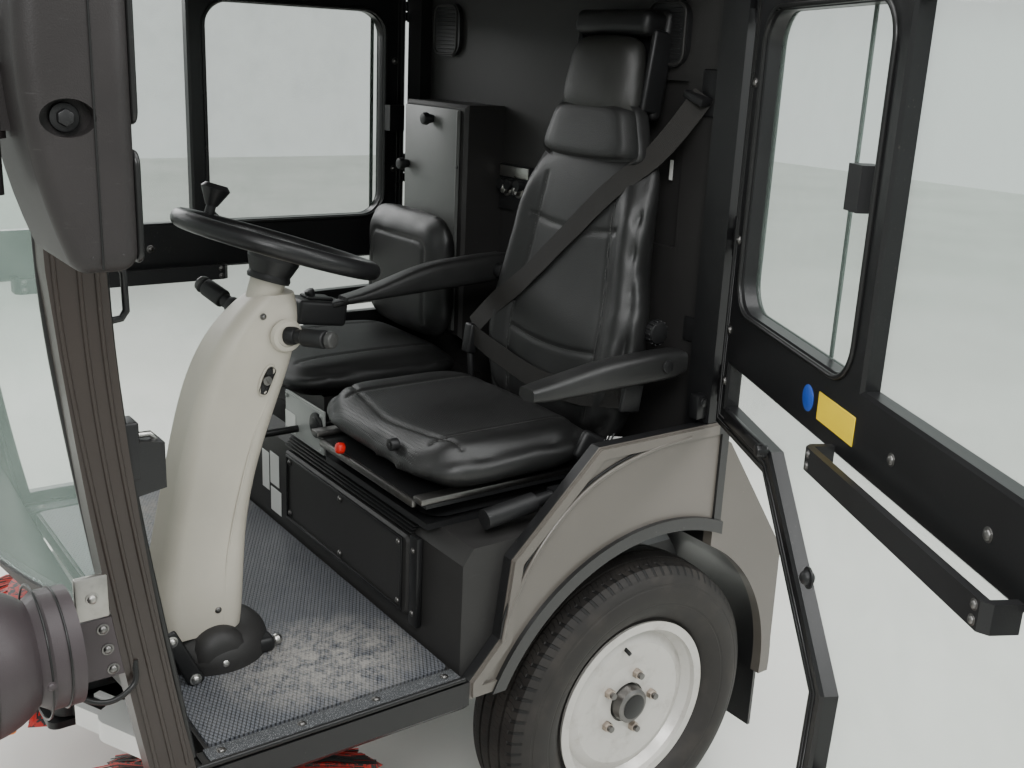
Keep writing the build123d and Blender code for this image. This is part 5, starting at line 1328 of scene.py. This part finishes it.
# Steering column: neck ring, key recess drawn as a thin black plate of painted shade, screws, side ridges,
# stalks; the tilting foot's gear
up = Vector((math.sin(STEER_TILT), 0, math.cos(STEER_TILT)))
rim_c = STEER_C - MOUNT
NECK_RING = [(0.0325, -0.006), (0.037, -0.006), (0.039, 0.0), (0.037, 0.006), (0.0325, 0.006)]
BOSS_PROFILE = [(0.0, 0.0), (0.029, 0.0), (0.030, 0.006), (0.026, 0.012), (0.019, 0.013), (0.017, 0.010),
                (0.0, 0.010)]
RIDGE = ((-0.792, 0.0588, 0.620), (-0.778, 0.0588, 0.760), (-0.726, 0.0583, 0.960), (-0.672, 0.0572, 1.080))
COLUMN_SCREWS = (("screw", -0.801, 0.0585, 0.645, 0.0065), ("screw_high", -0.700, 0.050, 1.176, 0.0045))
neck_ring = Piece("column_neck_ring")
neck_ring.turned(NECK_RING, up, rim_c - up * 0.060, 40)
neck_ring.finish(black_plastic, "cab", "column_plastic")
for side, sign in SIDES:
    boss = Piece(f"stalk_boss_{side}")
    boss.turned(BOSS_PROFILE, (0, sign, 0), at(-0.662, STEER_C.y + sign * 0.056, 1.140), 40)
    boss.finish(greige, "cab", "column_plastic")
    for name, x, y, z, r in COLUMN_SCREWS:
        screw = Piece(f"column_{name}_{side}")
        screw.bolts([at(x, STEER_C.y + sign * y, z)], (0, sign, 0), r, 0.004)
        screw.finish(dark_steel, "cab", "column_plastic")
    ridge = curved([at(x, STEER_C.y + sign * y, z) for x, y, z in RIDGE], 10)
    wire(f"column_ridge_{side}", ridge, 0.0018, greige, "cab")

KEY_AT = at(-0.700, -0.3102, 1.064)
# Painted shade: a thin black plate stands for the shade inside the key recess.
pocket = Piece("key_pocket")
pocket.box(KEY_AT, (0.016, 0.0016, 0.050), tilted(24.5, "Y"), 0.006, 4)
pocket.finish(black_plastic, "cab", "column_plastic")
lean_s, lean_c = math.sin(0.6), math.cos(0.6)
pocket_rim = [
    KEY_AT + Vector((0.020 * lean_s * c + 0.011 * lean_c * s, 0, 0.030 * lean_c * c - 0.011 * lean_s * s))
    for c, s in circle(1.0, 40)
]
wire("key_pocket_rim", pocket_rim, 0.0026, greige, "cab", True)
key = Piece("key_switch")
key.rod(KEY_AT, KEY_AT + Vector((0, -0.006, 0)), 0.0095, 0.0085, 0.0015, 28)
key.box(KEY_AT + Vector((0, -0.0065, 0)), (0.0025, 0.002, 0.011), tilted(-20, "Y"), 0.0006, 1)
key.finish(dark_steel, "cab", "column_plastic")

# Its two stalks: a socket, a neck, a grip with a ring, and a button at the end
dark_button = plastic("stalk button", (0.035, 0.035, 0.034), 0.28)
for name, root, tip in (
    ("near", at(-0.659, -0.310, 1.141), at(-0.612, -0.398, 1.146)),
    ("far", at(-0.704, -0.194, 1.168), at(-0.742, -0.108, 1.205)),
):
    way = (tip - root).normalized()
    stalk = Piece(f"stalk_{name}")
    stalk.rod(root, root + way * 0.020, 0.0180, 0.0150, 0.003)
    stalk.rod(root + way * 0.016, root + way * 0.040, 0.0125, bevel=0.001)
    stalk.rod(root + way * 0.034, root + way * 0.082, 0.0170, 0.0164, 0.004, 28, 3)
    stalk.rod(root + way * 0.083, root + way * 0.087, 0.0140, bevel=0.001)
    stalk.finish(black_plastic, "cab", "black_plastic", replaces=["column_stalks"])
    end = Piece(f"stalk_button_{name}")
    end.rod(root + way * 0.086, root + way * 0.098, 0.0164, 0.0140, 0.003, 28, 3)
    end.finish(dark_button, "cab", "black_plastic")

# Its foot: the clamp between two bolts, the round cap over the pivot, and the pedal's ball joint
CLAMP_A = at(-0.905, -0.358, 0.636)
CLAMP_B = at(-0.866, -0.358, 0.552)
clamp_turn = (CLAMP_B - CLAMP_A).to_track_quat("X", "Z").to_matrix().to_4x4()
clamp_c = (CLAMP_A + CLAMP_B) / 2
clamp_long = (CLAMP_B - CLAMP_A).length
clamp = Piece("column_clamp")
clamp.box(clamp_c, (clamp_long + 0.030, 0.010, 0.030), clamp_turn, 0.006, 3)
clamp.box(clamp_c + Vector((0.006, 0.012, -0.014)), (clamp_long, 0.016, 0.022), clamp_turn, 0.004)
clamp.box(at(-0.722, -0.308, 0.556), (0.046, 0.044, 0.030), None, 0.010, 4)
clamp.finish(frame_black, "cab", "interior_trim")
cap = Piece("column_foot_cap")
cap.turned([(0.0, 0.044), (0.030, 0.042), (0.046, 0.034), (0.053, 0.020), (0.053, 0.0), (0.0, 0.0)],
           (0, -1, 0), at(-0.806, -0.306, 0.562), 48)
cap.finish(charcoal, "cab", "interior_trim")
fixings = Piece("column_foot_bolts")
fixings.bolts([end + Vector((0, -0.005, 0)) for end in (CLAMP_A, CLAMP_B)], (0, -1, 0), 0.008, 0.006)
fixings.bolts([at(-0.806, -0.352, 0.560)], (0, -1, 0.2), 0.0075, 0.004)
fixings.rod(at(-0.706, -0.306, 0.552), at(-0.694, -0.308, 0.553), 0.005, bevel=0.001)
fixings.ball(at(-0.689, -0.309, 0.5535), 0.0105)
fixings.finish(bright_steel, "cab", "interior_trim")

# Steering wheel: hub cover and two seams round its grip
HUB_COVER = [(0.0, -0.012), (0.040, -0.012), (0.041, -0.004), (0.036, 0.004), (0.018, 0.009), (0.0, 0.010)]
wheel_y = up.cross(Vector((0, 1, 0))).normalized()
cover = Piece("steering_cover")
cover.turned(HUB_COVER, up, rim_c - up * 0.012, 48)
cover.finish(black_plastic, "steering", "black_plastic")
for number, angle in enumerate((75, 255)):
    direction = Vector((0, math.cos(math.radians(angle)), 0)) + wheel_y * math.sin(math.radians(angle))
    centre = rim_c + direction * STEER_R
    around = [centre + direction * c + up * s for c, s in circle(STEER_GRIP + 0.0004, 28)]
    wire(f"rim_seam_{number + 1}", around, 0.0009, seal_rubber, "steering", True)

# Door sills: gritty strip with its screws, a rubber lip
SILL_Y = 0.569
strip_finish = gritty_strip()
for side, sign in SIDES:
    strip = Piece(f"grip_strip_{side}")
    strip.box(at(-0.690, sign * SILL_Y, 0.5405), (0.470, 0.034, 0.0035), None, 0.001)
    strip.finish(strip_finish, "cab", "black_frame")
    screws = Piece(f"sill_screws_{side}")
    screws.bolts([at(x, sign * SILL_Y, 0.542) for x in (-0.90, -0.76, -0.62, -0.48)], (0, 0, 1), 0.006, 0.003)
    screws.finish(dark_steel, "cab", "black_frame")
    wire(f"sill_seal_{side}", [at(x, sign * 0.5945, 0.541) for x in (-0.950, -0.80, -0.62, -0.452)], 0.005,
         seal_rubber, "cab")

# Side panels: the lip that curves over the arch, with a dark line outside it
WING_LIP = ((-0.376, 0.600), (-0.361, 0.665), (-0.305, 0.764), (-0.229, 0.841), (-0.142, 0.888),
            (-0.038, 0.914), (0.060, 0.924))
LIP_BEADS = (("lip", 0.0, 0.6030, 0.0046, taupe), ("lip_seam", 0.006, 0.6012, 0.0026, seal_rubber))
for side, sign in SIDES:
    for kind, grow, y, r, finish in LIP_BEADS:
        line = curved([at(x - grow, sign * y, z + grow) for x, z in WING_LIP], 10)
        wire(f"wing_{kind}_{side}", line, r, finish, "cab")

# Wheels: nuts, the ring round the hub, a flat black disc on the hub that paints the shade of its bore, and the
# valve
STUD_RING = 0.067
nut_finish = steel("zinc nuts", (0.42, 0.36, 0.31), 0.4)
for side, sign in SIDES:
    body = f"{side}_wheel"
    nuts = Piece(f"wheel_nuts_{side}")
    for x, z in circle(STUD_RING, 5):
        z += AXLE_Z
        nuts.rod(at(x, sign * 0.540, z), at(x, sign * 0.546, z), 0.0145, bevel=0.001, sides=24)
        nuts.rod(at(x, sign * 0.545, z), at(x, sign * 0.560, z), 0.0118, 0.0112, 0.0015, 6)
    nuts.finish(nut_finish, body, "hub_steel")
    centre = Piece(f"wheel_centre_{side}")
    centre.turned([(0.030, 0.0), (0.038, 0.0), (0.040, 0.003), (0.037, 0.007), (0.031, 0.007)],
                  (0, sign, 0), at(0, sign * 0.541, AXLE_Z), 48)
    centre.finish(rim_finish, body, "steel_rim")
    # Painted shade: the bore is a flat black disc on the hub's face, not a hollow.
    bore = Piece(f"hub_bore_shade_{side}")
    bore.turned([(0.0, 0.0), (0.027, 0.0), (0.028, 0.0012), (0.026, 0.0022), (0.0, 0.0005)],
                (0, sign, 0), at(0, sign * 0.5715, AXLE_Z), 40)
    bore.finish(seal_rubber, body, "hub_steel")
    valve = Piece(f"valve_{side}")
    valve.rod(at(-0.021, sign * 0.540, 0.456), at(-0.019, sign * 0.568, 0.446), 0.0048, 0.0044, 0.001, 16)
    valve.finish(seal_rubber, body, "tyre")

# Roof: rubber seal under its edge, a shallow raised panel with ribs, and its screws
ROOF_EDGE = ((0.170, -0.590), (-1.060, -0.590), (-1.120, -0.40), (-1.155, 0.0), (-1.120, 0.40), (-1.060, 0.590),
             (0.170, 0.590))
wire("roof_seal", [at(x, y, 1.8305) for x, y in ROOF_EDGE], 0.006, seal_rubber, "cab", True)
roof_panel = Piece("roof_panel")
roof_panel.box(at(-0.500, 0, 1.940), (0.900, 0.860, 0.008), None, 0.003, 3)
for y in (-0.30, -0.10, 0.10, 0.30):
    roof_panel.box(at(-0.500, y, 1.944), (0.820, 0.028, 0.008), None, 0.0035, 3)
roof_panel.finish(taupe, "cab", "body_paint")
screws = Piece("roof_screws")
screws.bolts([at(x, y, 1.943) for x in (-0.93, -0.50, -0.07) for y in (-0.40, 0.40)], (0, 0, 1), 0.010, 0.006)
screws.finish(dark_steel, "cab", "black_frame")

# Rear wall from behind: a ribbed service cover with its bolts, and the glands that the cables pass through
BACK_X = 0.172
GLAND_PROFILE = [(0.0, 0.0), (0.030, 0.0), (0.032, 0.004), (0.028, 0.009), (0.020, 0.012), (0.016, 0.020),
                 (0.0, 0.020)]
cover = Piece("service_cover")
cover.box(at(BACK_X + 0.002, 0, 1.400), (0.006, 0.860, 0.620), None, 0.002)
for y in (-0.260, 0.0, 0.260):
    cover.box(at(BACK_X + 0.006, y, 1.400), (0.006, 0.024, 0.520), None, 0.0028, 3)
cover.finish(frame_black, "cab", "interior_trim")
fixings = Piece("cover_bolts")
fixings.bolts([at(BACK_X + 0.005, y, z) for y in (-0.410, -0.137, 0.137, 0.410) for z in (1.108, 1.692)],
              (1, 0, 0), 0.008, 0.005)
fixings.bolts([at(BACK_X + 0.005, y, 1.400) for y in (-0.410, 0.410)], (1, 0, 0), 0.008, 0.005)
fixings.finish(dark_steel, "cab", "interior_trim")
glands = Piece("cable_glands")
for y in (-0.120, 0.0, 0.120):
    glands.turned(GLAND_PROFILE, (1, 0, 0), at(BACK_X - 0.001, y, 1.000), 40)
glands.finish(seal_rubber, "cab", "interior_trim")

# Brooms: bristle strands in bundles, drawn out over each tuft, and the bolts of the plate
BROOM_X, BROOM_Y = -0.870, 0.455
TUFTS = 22
STRANDS = 26
red_bristle = plastic("red strands", (0.50, 0.018, 0.012), 0.42, 900.0, 0.00004)
black_bristle = plastic("black strands", (0.012, 0.012, 0.012), 0.42, 900.0, 0.00004)
for side, sign in SIDES:
    for shade_name, finish, seed in (("red", red_bristle, 3), ("black", black_bristle, 4)):
        random.seed(seed)
        strands = Piece(f"strands_{side}_{shade_name}")
        for tuft in range(TUFTS):
            angle = math.tau * tuft / TUFTS
            for _ in range(STRANDS):
                spread = angle + random.uniform(-0.085, 0.085)
                out = Vector((math.cos(spread), math.sin(spread), 0))
                start = at(BROOM_X, sign * BROOM_Y, 0.374) + out * random.uniform(0.112, 0.130)
                reach = random.uniform(0.345, 0.372)
                bend = at(BROOM_X, sign * BROOM_Y, 0.318) + out * reach * random.uniform(0.66, 0.74)
                end = at(BROOM_X, sign * BROOM_Y, random.uniform(0.246, 0.262)) + out * reach
                strands.rod(start, bend, 0.0017, 0.0015, 0, 4)
                strands.rod(bend, end, 0.0015, 0.0012, 0, 4)
        strands.finish(finish, f"{side}_broom", "bristle")
    fixings = Piece(f"broom_bolts_{side}")
    fixings.bolts([at(BROOM_X + 0.075 * math.cos(a), sign * BROOM_Y + 0.075 * math.sin(a), 0.388)
                   for a in (0.3, 1.56, 2.81, 4.07, 5.33)], (0, 0, 1), 0.009, 0.006)
    fixings.finish(dark_steel, f"{side}_broom", "bristle")
